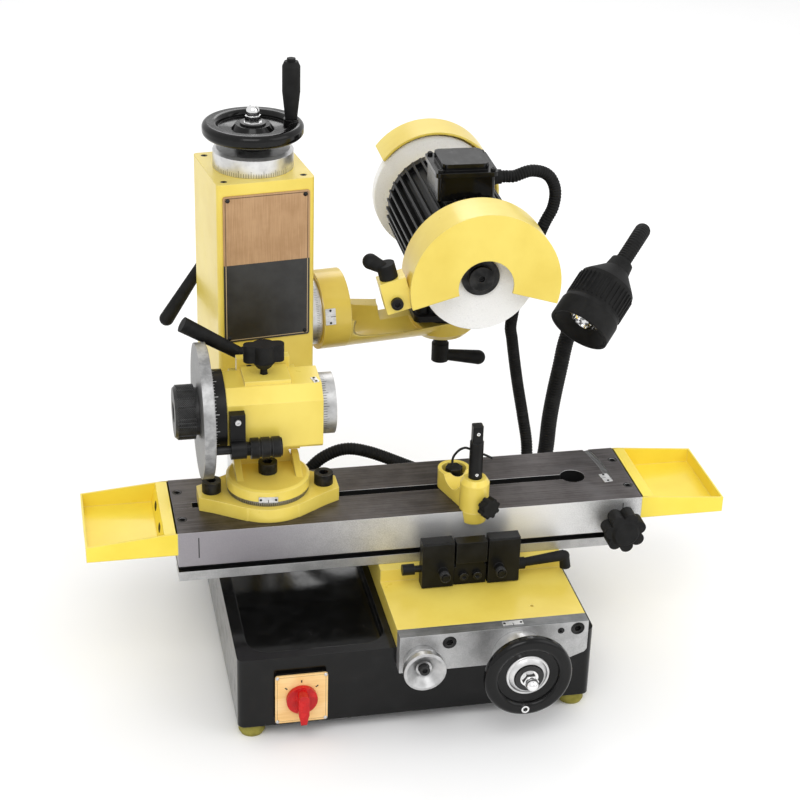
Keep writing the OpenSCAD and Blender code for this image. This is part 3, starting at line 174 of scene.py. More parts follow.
def box_outline(w, h, r, steps=5):
    """A rectangle's outline with round corners, centred, counter-clockwise."""
    a = np.linspace(0, np.pi / 2, steps)
    arc = np.stack([np.cos(a), np.sin(a)], -1) * r
    q = []
    for k, (sx, sy) in enumerate(((1, 1), (-1, 1), (-1, -1), (1, -1))):
        c, s = math.cos(k * math.pi / 2), math.sin(k * math.pi / 2)
        q.append(arc @ np.array([[c, s], [-s, c]]) + [sx * (w / 2 - r), sy * (h / 2 - r)])
    return np.concatenate(q)


def merge(*parts):
    """Several vertex and face lists as one."""
    v, f, n = [], [], 0
    for pv, pf in parts:
        v.append(pv)
        f += [[i + n for i in q] for q in pf]
        n += len(pv)
    return np.concatenate(v), f


def piece(name, parts, body, slot, material=None):
    """A finished object at the origin from one or more surfaces, on a body, in its slot's material or its own."""
    v, f = merge(*parts) if isinstance(parts, list) else parts
    mesh = bpy.data.meshes.new(name)
    mesh.from_pydata(v.tolist(), [], f)
    mesh.update()
    o = bpy.data.objects.new(name, mesh)
    scene.collection.objects.link(o)
    o.data.materials.append(material or MATERIALS[slot])
    mesh.polygons.foreach_set("use_smooth", np.ones(len(mesh.polygons), bool))
    mesh.set_sharp_from_angle(angle=SHARP_EDGE)
    if body:
        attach(o, body)
    return o


# Cords.
CONDUIT = [(152, 267.7, 514), (160, 267.6, 514), (169, 267.5, 514), (191, 270, 519), (213, 275, 511),
           (224, 276, 492), (223, 276, 468), (212, 277, 442), (191, 279, 380), (179.4, 280, 314),
           (182, 280, 287), (191, 279, 232), (200, 272, 181), (205, 262, 142), (198, 246, 121),
           (168, 228, 116), (120, 217, 118), (76, 210, 134), (32, 205, 158), (-16, 200, 183),
           (-47, 200, 190), (-74, 200, 181), (-93, 200, 163), (-104, 200, 140), (-106, 200, 123),
           (-106, 200, 114), (-106, 200, 105)]
# The lamp's place and the way it shines, and how many steps each span of a cord is cut into.
LAMP, BEAM = np.array([324, 290, 382.0]), np.array([-0.631, -0.52, -0.576])
STEPS = 24


def neck_turn(radius, reach):
    """The neck's turn above the lamp: a circle's arc from the line of the lamp's axis, back and down."""
    back, sweep, spans = np.array([0.04, 0.72, -0.693]), 159, 6
    a = np.radians(np.arange(sweep, -1, -sweep / spans))[:, None]
    arc = LAMP - BEAM * reach + radius * (back * (1 - np.cos(a)) - BEAM * np.sin(a))
    return [tuple(q) for q in arc]


NECK = [(187.5, 276, 70), (196, 276, 70), (205, 276, 70), (223, 277, 78), (232, 278, 98), (237, 280, 124),
        (239, 280, 168), (243, 280, 206), (250, 284, 244), (262, 304, 272), (279.6, 323.1, 296.1),
        (304.9, 340, 316), (332.3, 354.1, 336.2), *neck_turn(radius=36, reach=31),
        tuple(LAMP - BEAM * 17), tuple(LAMP)]


def route(points):
    """A smooth line through layout points: on each span a cubic that meets both points, its slope at each one
    half the way between that point's neighbours, cut into a set number of steps."""
    p = np.array([at(*q) for q in points])
    last = len(p) - 1
    before, after = np.maximum(np.arange(-1, last - 1), 0), np.minimum(np.arange(2, last + 2), last)
    t = np.arange(STEPS)[None, :, None] / STEPS
    a, b, c, d = (q[:, None, :] for q in (p[before], p[:-1], p[1:], p[after]))
    s = 0.5 * (2 * b + (c - a) * t + (2 * a - 5 * b + 4 * c - d) * t ** 2 + (3 * b - a - 3 * c + d) * t ** 3)
    return np.concatenate([s.reshape(-1, 3), p[-1:]])


def even(line, gap):
    """The same line with points the same distance apart."""
    d = np.r_[0, np.cumsum(np.linalg.norm(np.diff(line, axis=0), axis=1))]
    s = np.linspace(0, d[-1], max(2, int(round(d[-1] / gap)) + 1))
    return np.stack([np.interp(s, d, line[:, k]) for k in range(3)], -1), s


def eased(line, passes):
    """The same line with each point drawn to the mean of its neighbours some times over, its ends held."""
    p, _ = even(line, 0.0006)
    for _ in range(passes):
        p[1:-1] = (p[:-2] + 2 * p[1:-1] + p[2:]) / 4
    return p


def hose(line, radius, pitch, depth, sides=18):
    """A ribbed hose: a circle carried along the line, its radius falling by depth in the groove of each rib."""
    p, s = even(line, pitch / 8)
    t = np.gradient(p, axis=0)
    t /= np.linalg.norm(t, axis=1)[:, None]
    u = np.empty_like(p)
    start = np.cross(t[0], [0.3, 0.2, 0.9])
    u[0] = start / np.linalg.norm(start)
    for i in range(1, len(p)):
        w = u[i - 1] - t[i] * (u[i - 1] @ t[i])
        u[i] = w / np.linalg.norm(w)
    v = np.cross(t, u)
    rib = np.abs(np.cos(np.pi * s / pitch)) ** 0.7
    r = (radius - depth * (1 - rib))[:, None, None]
    a = np.linspace(0, 2 * np.pi, sides, endpoint=False)[None, :, None]
    q = p[:, None] + r * (np.cos(a) * u[:, None] + np.sin(a) * v[:, None])
    return (q.reshape(-1, 3), grid_faces(len(p), sides)), p


# Shader maths.
class Value:
    """One shader value of a material; arithmetic on it adds Math nodes, so formulas read as plain maths."""

    def __init__(self, mat, socket):
        self.mat, self.socket = mat, socket

    def op(self, kind, *others):
        """A Math node of one kind, with this value first."""
        return self.mat.maths(kind, self, *others)

    def __add__(self, o):
        return self.op("ADD", o)

    def __sub__(self, o):
        return self.op("SUBTRACT", o)

    def __mul__(self, o):
        return self.op("MULTIPLY", o)

    def __truediv__(self, o):
        return self.op("DIVIDE", o)

    def __radd__(self, o):
        return self.mat.maths("ADD", o, self)

    def __rsub__(self, o):
        return self.mat.maths("SUBTRACT", o, self)

    def __rmul__(self, o):
        return self.mat.maths("MULTIPLY", o, self)

    def __neg__(self):
        return self.mat.maths("MULTIPLY", self, -1)

    def __abs__(self):
        return self.op("ABSOLUTE")

    def above(self, edge):
        """One where the value is over the edge, else nought."""
        return self.op("GREATER_THAN", edge)

    def below(self, edge):
        """One where the value is under the edge, else nought."""
        return self.op("LESS_THAN", edge)

    def between(self, low, high):
        """One where the value lies between two edges."""
        return self.above(low) * self.below(high)

    def ramp(self, low, high):
        """Nought at low, one at high, smooth between."""
        n = self.mat.node("MapRange", {"interpolation_type": "SMOOTHSTEP"},
                          {"Value": self, "From Min": low, "From Max": high})
        return Value(self.mat, n.outputs[0])

    def fraction(self):
        """What is left over a whole number."""
        return self.op("FRACT")

    def angle(self, other):
        """The angle of a point with these two coordinates round its origin, in turns from nought to one."""
        return (self.op("ARCTAN2", other) / (2 * math.pi)) + 0.5


class Mat:
    """A material built from formulas over the object's own coordinates, in metres."""

    def __init__(self, name):
        self.material = bpy.data.materials.new(name)
        self.material.use_nodes = True
        self.tree = self.material.node_tree
        self.tree.nodes.clear()
        self.out = self.tree.nodes.new("ShaderNodeOutputMaterial")
        self.place = self.node("TexCoord").outputs["Object"]
        xyz = self.node("SeparateXYZ", {}, {"Vector": self.place})
        self.x, self.y, self.z = (Value(self, s) for s in xyz.outputs)
        facing = self.node("SeparateXYZ", {}, {"Vector": self.node("NewGeometry").outputs["Normal"]})
        self.nx, self.ny, self.nz = (Value(self, s) for s in facing.outputs)

    def node(self, kind, settings=None, sockets=None):
        """A shader node with its settings made first and its sockets then fed."""
        n = self.tree.nodes.new("ShaderNode" + kind)
        for k, v in (settings or {}).items():
            setattr(n, k, v)
        for k, v in (sockets or {}).items():
            self.feed(n.inputs[k], v)
        return n

    def feed(self, socket, v):
        """Links a value or an output into a socket, or sets a plain number or colour on it."""
        if isinstance(v, Value):
            self.tree.links.new(v.socket, socket)
        elif isinstance(v, bpy.types.NodeSocket):
            self.tree.links.new(v, socket)
        elif isinstance(v, (tuple, list)):
            socket.default_value = tuple(v) + (1,) * (len(socket.default_value) - len(v))
        else:
            socket.default_value = v

    def maths(self, kind, *args):
        """A Math node of one kind on values and plain numbers."""
        n = self.node("Math", {"operation": kind}, dict(enumerate(args)))
        return Value(self, n.outputs[0])

    def noise(self, size, detail, rough=0.55, stretch=(1, 1, 1)):
        """Soft random spots about so many metres across, drawn out along an axis by a stretch below one."""
        n = self.node("VectorMath", {"operation": "MULTIPLY"}, {0: self.place, 1: stretch})
        t = self.node("TexNoise", {},
                      {"Vector": n.outputs[0], "Scale": 1 / size, "Detail": detail, "Roughness": rough})
        return Value(self, t.outputs[0])

    def cells(self, size):
        """How far a point is from the nearest of many random points about so many metres apart."""
        t = self.node("TexVoronoi", {}, {"Vector": self.place, "Scale": 1 / size})
        return Value(self, t.outputs[0])

    def mix(self, a, b, share):
        """A colour between a and b."""
        n = self.node("Mix", {"data_type": "RGBA"}, {0: share, 6: a, 7: b})
        return n.outputs[2]

    def edges(self, radius):
        """The normal with edges rounded by a radius, and how strongly a point lies on such an edge."""
        b = self.node("Bevel", {"samples": 6}, {"Radius": radius})
        d = self.node("VectorMath", {"operation": "DOT_PRODUCT"},
                      {0: b.outputs[0], 1: self.node("NewGeometry").outputs["Normal"]})
        return b.outputs[0], (1 - Value(self, d.outputs["Value"])).ramp(0.01, 0.12)

    def along(self, origin, direction):
        """How far a point lies from an origin along a direction."""
        d = self.node("VectorMath", {"operation": "SUBTRACT"}, {0: self.place, 1: tuple(origin)})
        n = self.node("VectorMath", {"operation": "DOT_PRODUCT"}, {0: d.outputs[0], 1: tuple(direction)})
        return Value(self, n.outputs["Value"])

    def away(self, origin, axis):
        """How far a point is from a line through an origin along an axis."""
        d = self.node("VectorMath", {"operation": "SUBTRACT"}, {0: self.place, 1: tuple(origin)})
        n = self.node("VectorMath", {"operation": "CROSS_PRODUCT"}, {0: d.outputs[0], 1: tuple(axis)})
        return Value(self, self.node("VectorMath", {"operation": "LENGTH"}, {0: n.outputs[0]}).outputs["Value"])

    def finish(self, base, rough, metal=0.0, height=None, normal=None,
               strength=0.3, depth=0.001, coat=0.0, **fixed):
        """The shader: a Principled surface, with a bump under it where a height is given."""
        s = self.node("BsdfPrincipled", {},
                      {"Base Color": base, "Roughness": rough, "Metallic": metal, "Coat Weight": coat})
        for k, v in fixed.items():
            self.feed(s.inputs[k.replace("_", " ")], v)
        if height is not None:
            b = self.node("Bump", {}, {"Strength": strength, "Distance": depth, "Height": height})
            if normal is not None:
                self.feed(b.inputs["Normal"], normal)
            normal = b.outputs[0]
        if normal is not None:
            self.feed(s.inputs["Normal"], normal)
        self.tree.links.new(s.outputs[0], self.out.inputs["Surface"])
        return self.material


def grey(v):
    """A neutral colour."""
    return (v, v, v)


# Materials.
def yellow_paint(name, low, high):
    """Butter yellow gloss enamel: slow tone shifts, orange peel, paler worn edges, grime specks, painted underside
    shade.
    """
    m = Mat(name)
    normal, edge = m.edges(0.0016)
    slow, fine, specks = m.noise(0.09, 4), m.noise(0.0042, 2), m.noise(0.0016, 3, 0.7)
    base = m.mix(low, high, slow.ramp(0.3, 0.7))
    # painted shade: faces turned downwards are mixed towards a darker mustard
    base = m.mix(base, (0.62, 0.46, 0.08), (1 - m.nz.ramp(-0.9, 0.2)) * 0.35)
    base = m.mix(base, (0.93, 0.80, 0.34), edge * (0.2 + 0.5 * specks))
    base = m.mix(base, (0.42, 0.31, 0.09), specks.ramp(0.69, 0.78) * m.noise(0.05, 2).ramp(0.45, 0.7) * 0.5)
    rough = 0.24 + 0.12 * m.noise(0.03, 4) + 0.1 * edge
    return m.finish(base, rough, 0.0, fine * 0.7 + slow * 0.5,
                    normal=normal, strength=0.10, depth=0.0012, coat=0.2,
                    Coat_Roughness=0.12, Specular_IOR_Level=0.35)


def black_gloss():
    """Thick gloss black enamel with faint dust, fine scratches and softened edges."""
    m = Mat("black_gloss")
    normal, edge = m.edges(0.0014)
    dust, scratch = m.noise(0.02, 6, 0.7), m.noise(0.0025, 2, 0.5, (1, 0.06, 1))
    base = m.mix(grey(0.003), grey(0.008), dust.ramp(0.4, 0.75))
    base = m.mix(base, grey(0.05), edge * 0.5 * m.noise(0.006, 3))
    rough = 0.13 + 0.14 * dust.ramp(0.42, 0.8) + 0.06 * scratch.ramp(0.6, 0.7)
    return m.finish(base, rough, 0.0, m.noise(0.006, 2) * 0.6 + scratch * 0.2,
                    normal=normal, strength=0.07, depth=0.001, coat=0.08,
                    Coat_Roughness=0.06, Specular_IOR_Level=0.22)


def black_satin():
    """Satin black over a slightly sandy casting."""
    m = Mat("black_satin")
    normal, edge = m.edges(0.0011)
    sand, slow = m.noise(0.0018, 3, 0.6), m.noise(0.03, 4)
    base = m.mix(grey(0.004), grey(0.012), slow.ramp(0.3, 0.75))
    base = m.mix(base, grey(0.07), edge * sand * 0.7)
    rough = 0.3 + 0.16 * slow
    return m.finish(base, rough, 0.0, sand,
                    normal=normal, strength=0.16, depth=0.0008, coat=0.02,
                    Coat_Roughness=0.25, Specular_IOR_Level=0.17)


def ground_steel(name, groove=None):
    """Ground steel: fine lines along X, mottling, oil stains, a darker top and, if asked for, a groove painted
    black as shade.
    """
    m = Mat(name)
    normal, edge = m.edges(0.0006)
    lines = m.noise(0.0016, 3, 0.6, (0.02, 1, 1))
    cloud, stain, grit = m.noise(0.022, 5, 0.6), m.noise(0.11, 4, 0.6), m.noise(0.0014, 2, 0.7)
    top = m.nz.ramp(0.6, 0.9)
    base = m.mix(grey(0.40), grey(0.56), (cloud * 0.6 + grit * 0.4).ramp(0.35, 0.65))
    # a darker tone for faces turned upward
    top_tone = m.mix((0.15, 0.155, 0.16), (0.25, 0.255, 0.26), (cloud * 0.6 + lines * 0.4).ramp(0.38, 0.62))
    base = m.mix(base, top_tone, top)
    base = m.mix(base, (0.26, 0.245, 0.22), stain.ramp(0.56, 0.78) * 0.22)
    base = m.mix(base, grey(0.68), edge * 0.6)
    rough = 0.34 + 0.18 * cloud + 0.08 * lines
    metal, face = 0.82, -Y_MID / 1000
    # painted shade: the groove behind the slide's front face is painted black and bare of metal
    if groove:
        sunk = m.z.between(*groove) * m.y.above(face + 0.0004)
        base, metal = m.mix(base, grey(0.004), sunk), metal * (1 - sunk)
    return m.finish(base, rough, metal, lines + grit * 0.4, normal=normal, strength=0.10, depth=0.0006)


def turned_steel():
    """Turned steel: fine bright rings, a soft cloud of fingerprints."""
    m = Mat("turned_steel")
    normal, edge = m.edges(0.0005)
    cloud, grain = m.noise(0.015, 4), m.noise(0.0009, 2)
    base = m.mix(grey(0.58), grey(0.74), cloud.ramp(0.3, 0.7))
    base = m.mix(base, grey(0.85), edge * 0.6)
    return m.finish(base, 0.24 + 0.16 * cloud + 0.06 * grain, 0.95, grain,
                    normal=normal, strength=0.06, depth=0.0004)


def bright_chrome():
    """Polished chrome with faint haze."""
    m = Mat("bright_chrome")
    normal, edge = m.edges(0.0007)
    haze = m.noise(0.008, 4)
    base = m.mix(grey(0.82), grey(0.93), haze.ramp(0.3, 0.7))
    return m.finish(base, 0.05 + 0.09 * haze + 0.05 * edge, 1.0, haze,
                    normal=normal, strength=0.03, depth=0.0004)


def dark_steel():
    """Blackened steel with bare edges."""
    m = Mat("dark_steel")
    normal, edge = m.edges(0.0006)
    cloud, grain = m.noise(0.01, 4), m.noise(0.0011, 2)
    base = m.mix(grey(0.012), grey(0.04), cloud.ramp(0.3, 0.7))
    base = m.mix(base, grey(0.20), edge * 0.5)
    return m.finish(base, 0.30 + 0.18 * cloud, 0.7, grain,
                    normal=normal, strength=0.14, depth=0.0005, Specular_IOR_Level=0.25)


def bronze():
    """Dull bronze with darker stains."""
    m = Mat("bronze")
    normal, _ = m.edges(0.0006)
    cloud = m.noise(0.012, 4)
    base = m.mix((0.36, 0.22, 0.08), (0.55, 0.36, 0.14), cloud.ramp(0.3, 0.7))
    return m.finish(base, 0.3 + 0.2 * cloud, 0.9, m.noise(0.001, 2),
                    normal=normal, strength=0.08, depth=0.0004)


def facets():
    """Faceted mirror of the lamp: patches a few millimetres across, painted bright or dark as reflections of the
    room.
    """
    m = Mat("facets")
    patch, haze = m.noise(0.0052, 1.0), m.noise(0.01, 4)
    # painted reflection: patches painted bright or dark as if they caught the room
    base = m.mix(grey(0.16), grey(0.93), patch.ramp(0.44, 0.56))
    return m.finish(base, 0.06 + 0.08 * haze, 1.0, patch, strength=0.5, depth=0.002)


def rubber(name, low, high):
    """Rubber: a dull cloudy face with a fine grain."""
    m = Mat(name)
    normal, _ = m.edges(0.0012)
    cloud, grain = m.noise(0.012, 4), m.noise(0.0012, 3, 0.7)
    base = m.mix(low, high, cloud.ramp(0.3, 0.7))
    return m.finish(base, 0.5 + 0.25 * cloud, 0.0, grain,
                    normal=normal, strength=0.2, depth=0.0006, Specular_IOR_Level=0.18)


def gold_plate():
    """Brushed gold coloured plate of the switch with three short black marks and a thin border line."""
    m = Mat("gold_plate")
    normal, _ = m.edges(0.0005)
    brush = m.noise(0.0012, 3, 0.6, (0.03, 1, 1))
    base = m.mix((0.84, 0.53, 0.20), (0.93, 0.62, 0.27), brush.ramp(0.3, 0.7))
    base = m.mix(base, (0.95, 0.72, 0.38), m.noise(0.03, 2).ramp(0.4, 0.7) * 0.5)
    u, v = m.x - SWITCH[0] / 1000, m.z - SWITCH[2] / 1000
    marks = 0.0
    for turn in (-50, 0, 50):
        c, k = math.cos(math.radians(turn)), math.sin(math.radians(turn))
        mark = (u * k + v * c).between(0.0208, 0.0244) * abs(u * c - v * k).below(0.0008)
        marks = mark + marks
    wide, high, thin = 0.0275, 0.0295, 0.0005
    inner = abs(u).below(wide - thin) * abs(v).below(high - thin)
    border = abs(u).below(wide) * abs(v).below(high) * (1 - inner)
    base = m.mix(base, grey(0.015), marks.op("MAXIMUM", border * 0.6))
    return m.finish(base, 0.34 + 0.14 * brush, 0.12, brush,
                    normal=normal, strength=0.05, depth=0.0004, Specular_IOR_Level=0.3)


def red_plastic():
    """Red moulded plastic, brighter on its edges."""
    m = Mat("red_plastic")
    normal, edge = m.edges(0.0012)
    cloud = m.noise(0.01, 3)
    base = m.mix((0.46, 0.004, 0.006), (0.60, 0.008, 0.008), cloud.ramp(0.3, 0.7))
    base = m.mix(base, (0.75, 0.08, 0.06), edge * 0.3)
    return m.finish(base, 0.2 + 0.12 * cloud, 0.0, m.noise(0.0015, 2),
                    normal=normal, strength=0.05, depth=0.0004, coat=0.1, Specular_IOR_Level=0.3)


def plate_tan():
    """Bare two-tone plate: tan copper above, black below, with thin border lines."""
    m = Mat("plate_tan")
    normal, _ = m.edges(0.0004)
    brush, cloud = m.noise(0.001, 3, 0.6, (1, 1, 0.03)), m.noise(0.03, 4)
    tan = m.mix((0.40, 0.235, 0.115), (0.52, 0.325, 0.175), (brush * 0.5 + cloud * 0.5).ramp(0.35, 0.65))
    black = m.mix(grey(0.012), grey(0.028), cloud.ramp(0.3, 0.7))
    split, middle = 0.4525, 0.446
    wide, high, thin = 0.0494, 0.0889, 0.0009
    low = m.z.below(split)
    base = m.mix(tan, black, low)
    u, v = abs(m.along(COLUMN[0], COLUMN[1][:, 0])), abs(m.z - middle)
    rim = u.below(wide) * v.below(high) * (1 - u.below(wide - thin) * v.below(high - thin))
    base = m.mix(base, m.mix((0.05, 0.035, 0.02), (0.55, 0.42, 0.24), low), rim * 0.85)
    return m.finish(base, 0.30 + 0.15 * cloud, 0.55 * (1 - low), brush,
                    normal=normal, strength=0.05, depth=0.0003)


def wheel_white():
    """Vitrified abrasive: white sharp grains, pores and a few grey loaded spots."""
    m = Mat("wheel_white")
    grain, pores, cloud = m.noise(0.0011, 4, 0.75), m.cells(0.0016), m.noise(0.02, 3)
    base = m.mix((0.90, 0.90, 0.895), (0.97, 0.97, 0.965), grain.ramp(0.35, 0.65))
    base = m.mix(base, (0.74, 0.74, 0.73), pores.ramp(0.75, 0.95) * 0.45)
    base = m.mix(base, (0.84, 0.84, 0.835), cloud.ramp(0.55, 0.8) * 0.3)
    return m.finish(base, 0.88 + 0.1 * grain, 0.0, grain + (1 - pores) * 0.4, strength=0.6, depth=0.0008)


def bulb_glass():
    """Frosted bulb glass over a bright core."""
    m = Mat("bulb_glass")
    cloud = m.noise(0.008, 3)
    base = m.mix((0.86, 0.87, 0.88), (0.97, 0.97, 0.96), cloud.ramp(0.3, 0.7))
    glow = m.mix((1.0, 0.97, 0.9), (1.0, 0.99, 0.96), cloud)
    return m.finish(base, 0.16 + 0.14 * cloud, 0.0, cloud, strength=0.05, depth=0.0004, coat=0.3,
                    Emission_Color=glow, Emission_Strength=0.25)


MATERIALS = {
    "yellow_paint": yellow_paint("yellow_paint", (0.77, 0.585, 0.088), (0.86, 0.685, 0.135)),
    "black_gloss": black_gloss(), "black_satin": black_satin(),
    "ground_steel": ground_steel("ground_steel"), "turned_steel": turned_steel(), "bright_chrome": bright_chrome(),
    "dark_steel": dark_steel(), "bronze": bronze(), "gold_plate": gold_plate(), "red_plastic": red_plastic(),
    "plate_tan": plate_tan(), "wheel_white": wheel_white(), "bulb_glass": bulb_glass(),
    "foot_rubber": rubber("foot_rubber", (0.21, 0.185, 0.030), (0.32, 0.285, 0.060)),
    "hose_black": rubber("hose_black", grey(0.004), grey(0.012)),
    "black_plastic": rubber("black_plastic", grey(0.005), grey(0.012)),
}


def ticks(m, origin, across, axis, count, foot, short, long, width):
    """Scale marks round an axis: dark where the angle is near one of so many equal steps, each fifth one longer."""
    turn = m.along(origin, across).angle(m.along(origin, np.cross(axis, across)))
    far = m.along(origin, axis) - foot
    fine = abs((turn * count).fraction() - 0.5).above(0.5 - width / 2) * far.between(0, short)
    fifth = abs((turn * (count / 5)).fraction() - 0.5).above(0.5 - width / 10) * far.between(0, long)
    return fine.op("MAXIMUM", fifth)


def scale_steel(name, origin, across, axis, count, foot, short, long, shade=0.60, width=0.16):
    """Silver scale band: turned steel with engraved black marks."""
    m = Mat(name)
    normal, edge = m.edges(0.0005)
    cloud, grain = m.noise(0.012, 4), m.noise(0.0009, 2)
    base = m.mix(grey(shade), grey(shade * 1.3), cloud.ramp(0.3, 0.7))
    base = m.mix(base, grey(0.9), edge * 0.5)
    mark = ticks(m, origin, across, axis, count=count, foot=foot, short=short, long=long, width=width)
    base = m.mix(base, grey(0.012), mark)
    return m.finish(base, 0.26 + 0.16 * cloud + 0.2 * mark, 0.9 * (1 - mark), grain - mark,
                    normal=normal, strength=0.1, depth=0.0003)


def spindle_plates():
    """Index plate and rear dial: mottled dark grey turned iron at the left, a silver marked dial at the right."""
    m = Mat("spindle_plates")
    normal, edge = m.edges(0.0008)
    r = m.away(SPINDLE, RIGHT)
    cloud, grain, rings = m.noise(0.012, 5, 0.65), m.noise(0.0012, 3, 0.7), (r * 900).fraction()
    iron = m.mix(grey(0.12), grey(0.26), (cloud * 0.45 + grain * 0.55).ramp(0.35, 0.68))
    iron = m.mix(iron, m.mix(grey(0.28), grey(0.44), cloud.ramp(0.35, 0.65)), 1 - abs(m.nx).ramp(0.4, 0.8))
    iron = m.mix(iron, grey(0.6), edge * 0.6)
    silver = m.mix(grey(0.40), grey(0.56), cloud.ramp(0.3, 0.7))
    mark = ticks(m, SPINDLE, UP, RIGHT, count=72, foot=0.0588, short=0.0042, long=0.0066, width=0.2)
    right = m.x.above(-0.15)
    base = m.mix(iron, m.mix(silver, grey(0.012), mark), right)
    return m.finish(base, 0.34 + 0.16 * cloud, 0.88 * (1 - mark * right), rings * 0.4 + grain,
                    normal=normal, strength=0.07, depth=0.0004)


def index_ring():
    """The black ring behind the index plate, with fine pale marks round its rim."""
    m = Mat("index_ring")
    normal, _ = m.edges(0.0008)
    slow, sand = m.noise(0.02, 4), m.noise(0.0016, 3, 0.6)
    mark = ticks(m, SPINDLE, UP, RIGHT, count=72, foot=-0.0660, short=0.0042, long=0.0070, width=0.2)
    base = m.mix(m.mix(grey(0.004), grey(0.012), slow), grey(0.5), mark * (1 - abs(m.nx).above(0.5)))
    return m.finish(base, 0.3 + 0.16 * slow, 0.0, sand - mark,
                    normal=normal, strength=0.14, depth=0.0005, Specular_IOR_Level=0.2)


def knurled(name, origin, axis, across, count, low, high, shade, metal):
    """Knurled metal: two families of lines cross at a slant round an axis and leave a diamond of bumps."""
    m = Mat(name)
    normal, edge = m.edges(0.0006)
    cloud, grain = m.noise(0.01, 4), m.noise(0.0011, 2)
    a, b, far = (m.along(origin, v) for v in (across, np.cross(axis, across), axis))
    turn, lean = a.angle(b) * count, far * 420
    diamond = abs((turn + lean).fraction() - 0.5) + abs((turn - lean).fraction() - 0.5)
    band = far.between(low, high)
    base = m.mix(grey(shade), grey(shade * 2.4), cloud.ramp(0.3, 0.7))
    base = m.mix(base, grey(shade * 0.35), diamond.below(0.42) * band)
    base = m.mix(base, grey(0.3), edge * 0.4)
    return m.finish(base, 0.3 + 0.18 * cloud, metal, grain * 0.3 + diamond * band,
                    normal=normal, strength=0.5, depth=0.0006, Specular_IOR_Level=0.3)


def table_steel():
    """The table's ground steel: fine lines along X, painted shade at the front's left and a painted highlight
    mid-front, a brown-grey top, slot walls painted black as shade.
    """
    m = Mat("table_steel")
    normal, edge = m.edges(0.0007)
    lines, grit = m.noise(0.0015, 3, 0.6, (0.02, 1, 1)), m.noise(0.0013, 2, 0.7)
    cloud, stain = m.noise(0.02, 5, 0.6), m.noise(0.12, 4, 0.6)
    top = m.nz.ramp(0.6, 0.9)
    front = m.mix(grey(0.50), grey(0.69), (cloud * 0.35 + grit * 0.65).ramp(0.36, 0.64))
    # painted shade: the front darkened towards its left end
    front = m.mix(front, (0.29, 0.27, 0.295), (1 - m.x.ramp(-0.20, -0.02)) * 0.85)
    # painted highlight: a pale band across the middle of the front
    front = m.mix(front, grey(0.86), m.x.ramp(-0.06, 0.04) * (1 - m.x.ramp(0.14, 0.24)) * 0.8)
    # a darker tone for faces turned upward
    top_tone = m.mix((0.066, 0.058, 0.057), (0.125, 0.114, 0.113), (cloud * 0.4 + lines * 0.6).ramp(0.38, 0.62))
    top_tone = m.mix(top_tone, (0.165, 0.158, 0.163), stain.ramp(0.5, 0.75) * 0.5)
    # painted shade: the top is painted black around each screw, inside its hole
    for x, y in TABLE_SCREWS:
        top_tone = m.mix(top_tone, grey(0.008), m.away(at(x, y, 0), UP).below(0.0056))
    base = m.mix(front, top_tone, top)
    base = m.mix(base, grey(0.72), edge * 0.45)
    # painted shade: everything inside the slot below the top is painted nearly black, for the shade in it
    slot = abs(m.y - TABLE_FACE[1]).below(0.0165) * m.z.between(0.17, 0.2060)
    base = m.mix(base, grey(0.010), slot)
    # two scribed lines in front
    half_line = 0.0006
    left = abs(m.x + 0.2492).below(half_line) * m.z.between(0.173, 0.1993)
    right = abs(m.x - 0.2496).below(half_line) * m.z.between(0.1924, 0.2006)
    scribed = (left + right) * (-m.ny).above(0.5)
    base = m.mix(base, grey(0.015), scribed)
    rough, metal = 0.33 + 0.16 * cloud + 0.08 * lines, 0.8 * (1 - scribed) * (1 - slot)
    return m.finish(base, rough, metal, lines + grit * 0.5,
                    normal=normal, strength=0.1, depth=0.0006, Specular_IOR_Level=0.25)


TABLE_STEEL = table_steel()
TRAY_PAINT = yellow_paint("tray_paint", (0.87, 0.67, 0.050), (0.95, 0.76, 0.080))


def capped(name, origin, axis, low, high, outer, dull=0.0):
    """A metal whose ring between two radii is blackened, such as a cap nut's washer or a knob's middle screw."""
    m = Mat(name)
    normal, _ = m.edges(0.0007)
    r = m.away(origin, axis)
    haze, rings = m.noise(0.008, 4), (r * 700).fraction()
    dark = r.between(low, high)
    base = m.mix(m.mix(grey(outer), grey(outer + 0.14), haze.ramp(0.3, 0.7)), grey(0.01), dark)
    return m.finish(base, dull + 0.08 + 0.14 * haze + 0.25 * dark, 1 - dark, haze + rings * 0.3,
                    normal=normal, strength=0.05, depth=0.0004)


# Pieces.
def socket_screw(r, h, where, key=0.55, sides=24):
    """A socket head: a cylinder with a small chamfer whose top runs into a six sided recess."""
    a = np.linspace(0, 2 * np.pi, sides, endpoint=False)
    sixth = math.pi / 6
    hexagon = key * r * math.cos(sixth) / np.cos((a + sixth) % (2 * sixth) - sixth)
    rows = ((r + 0 * a, 0), (r + 0 * a, h * 0.93), (r * 0.92 + 0 * a, h), (hexagon, h), (hexagon, h * 0.45))
    v = np.concatenate([np.stack([q * np.cos(a), q * np.sin(a), 0 * a + z], -1) for q, z in rows]) / 1000
    return where[0] + v @ where[1].T, grid_faces(len(rows), sides)


def rivet(r, where):
    """A rivet's low dome."""
    dome = [(r, -0.2), (r, 0.15 * r), (r * 0.86, 0.38 * r), (r * 0.55, 0.58 * r), (r * 0.1, 0.66 * r)]
    return revolve(dome, where, 16)


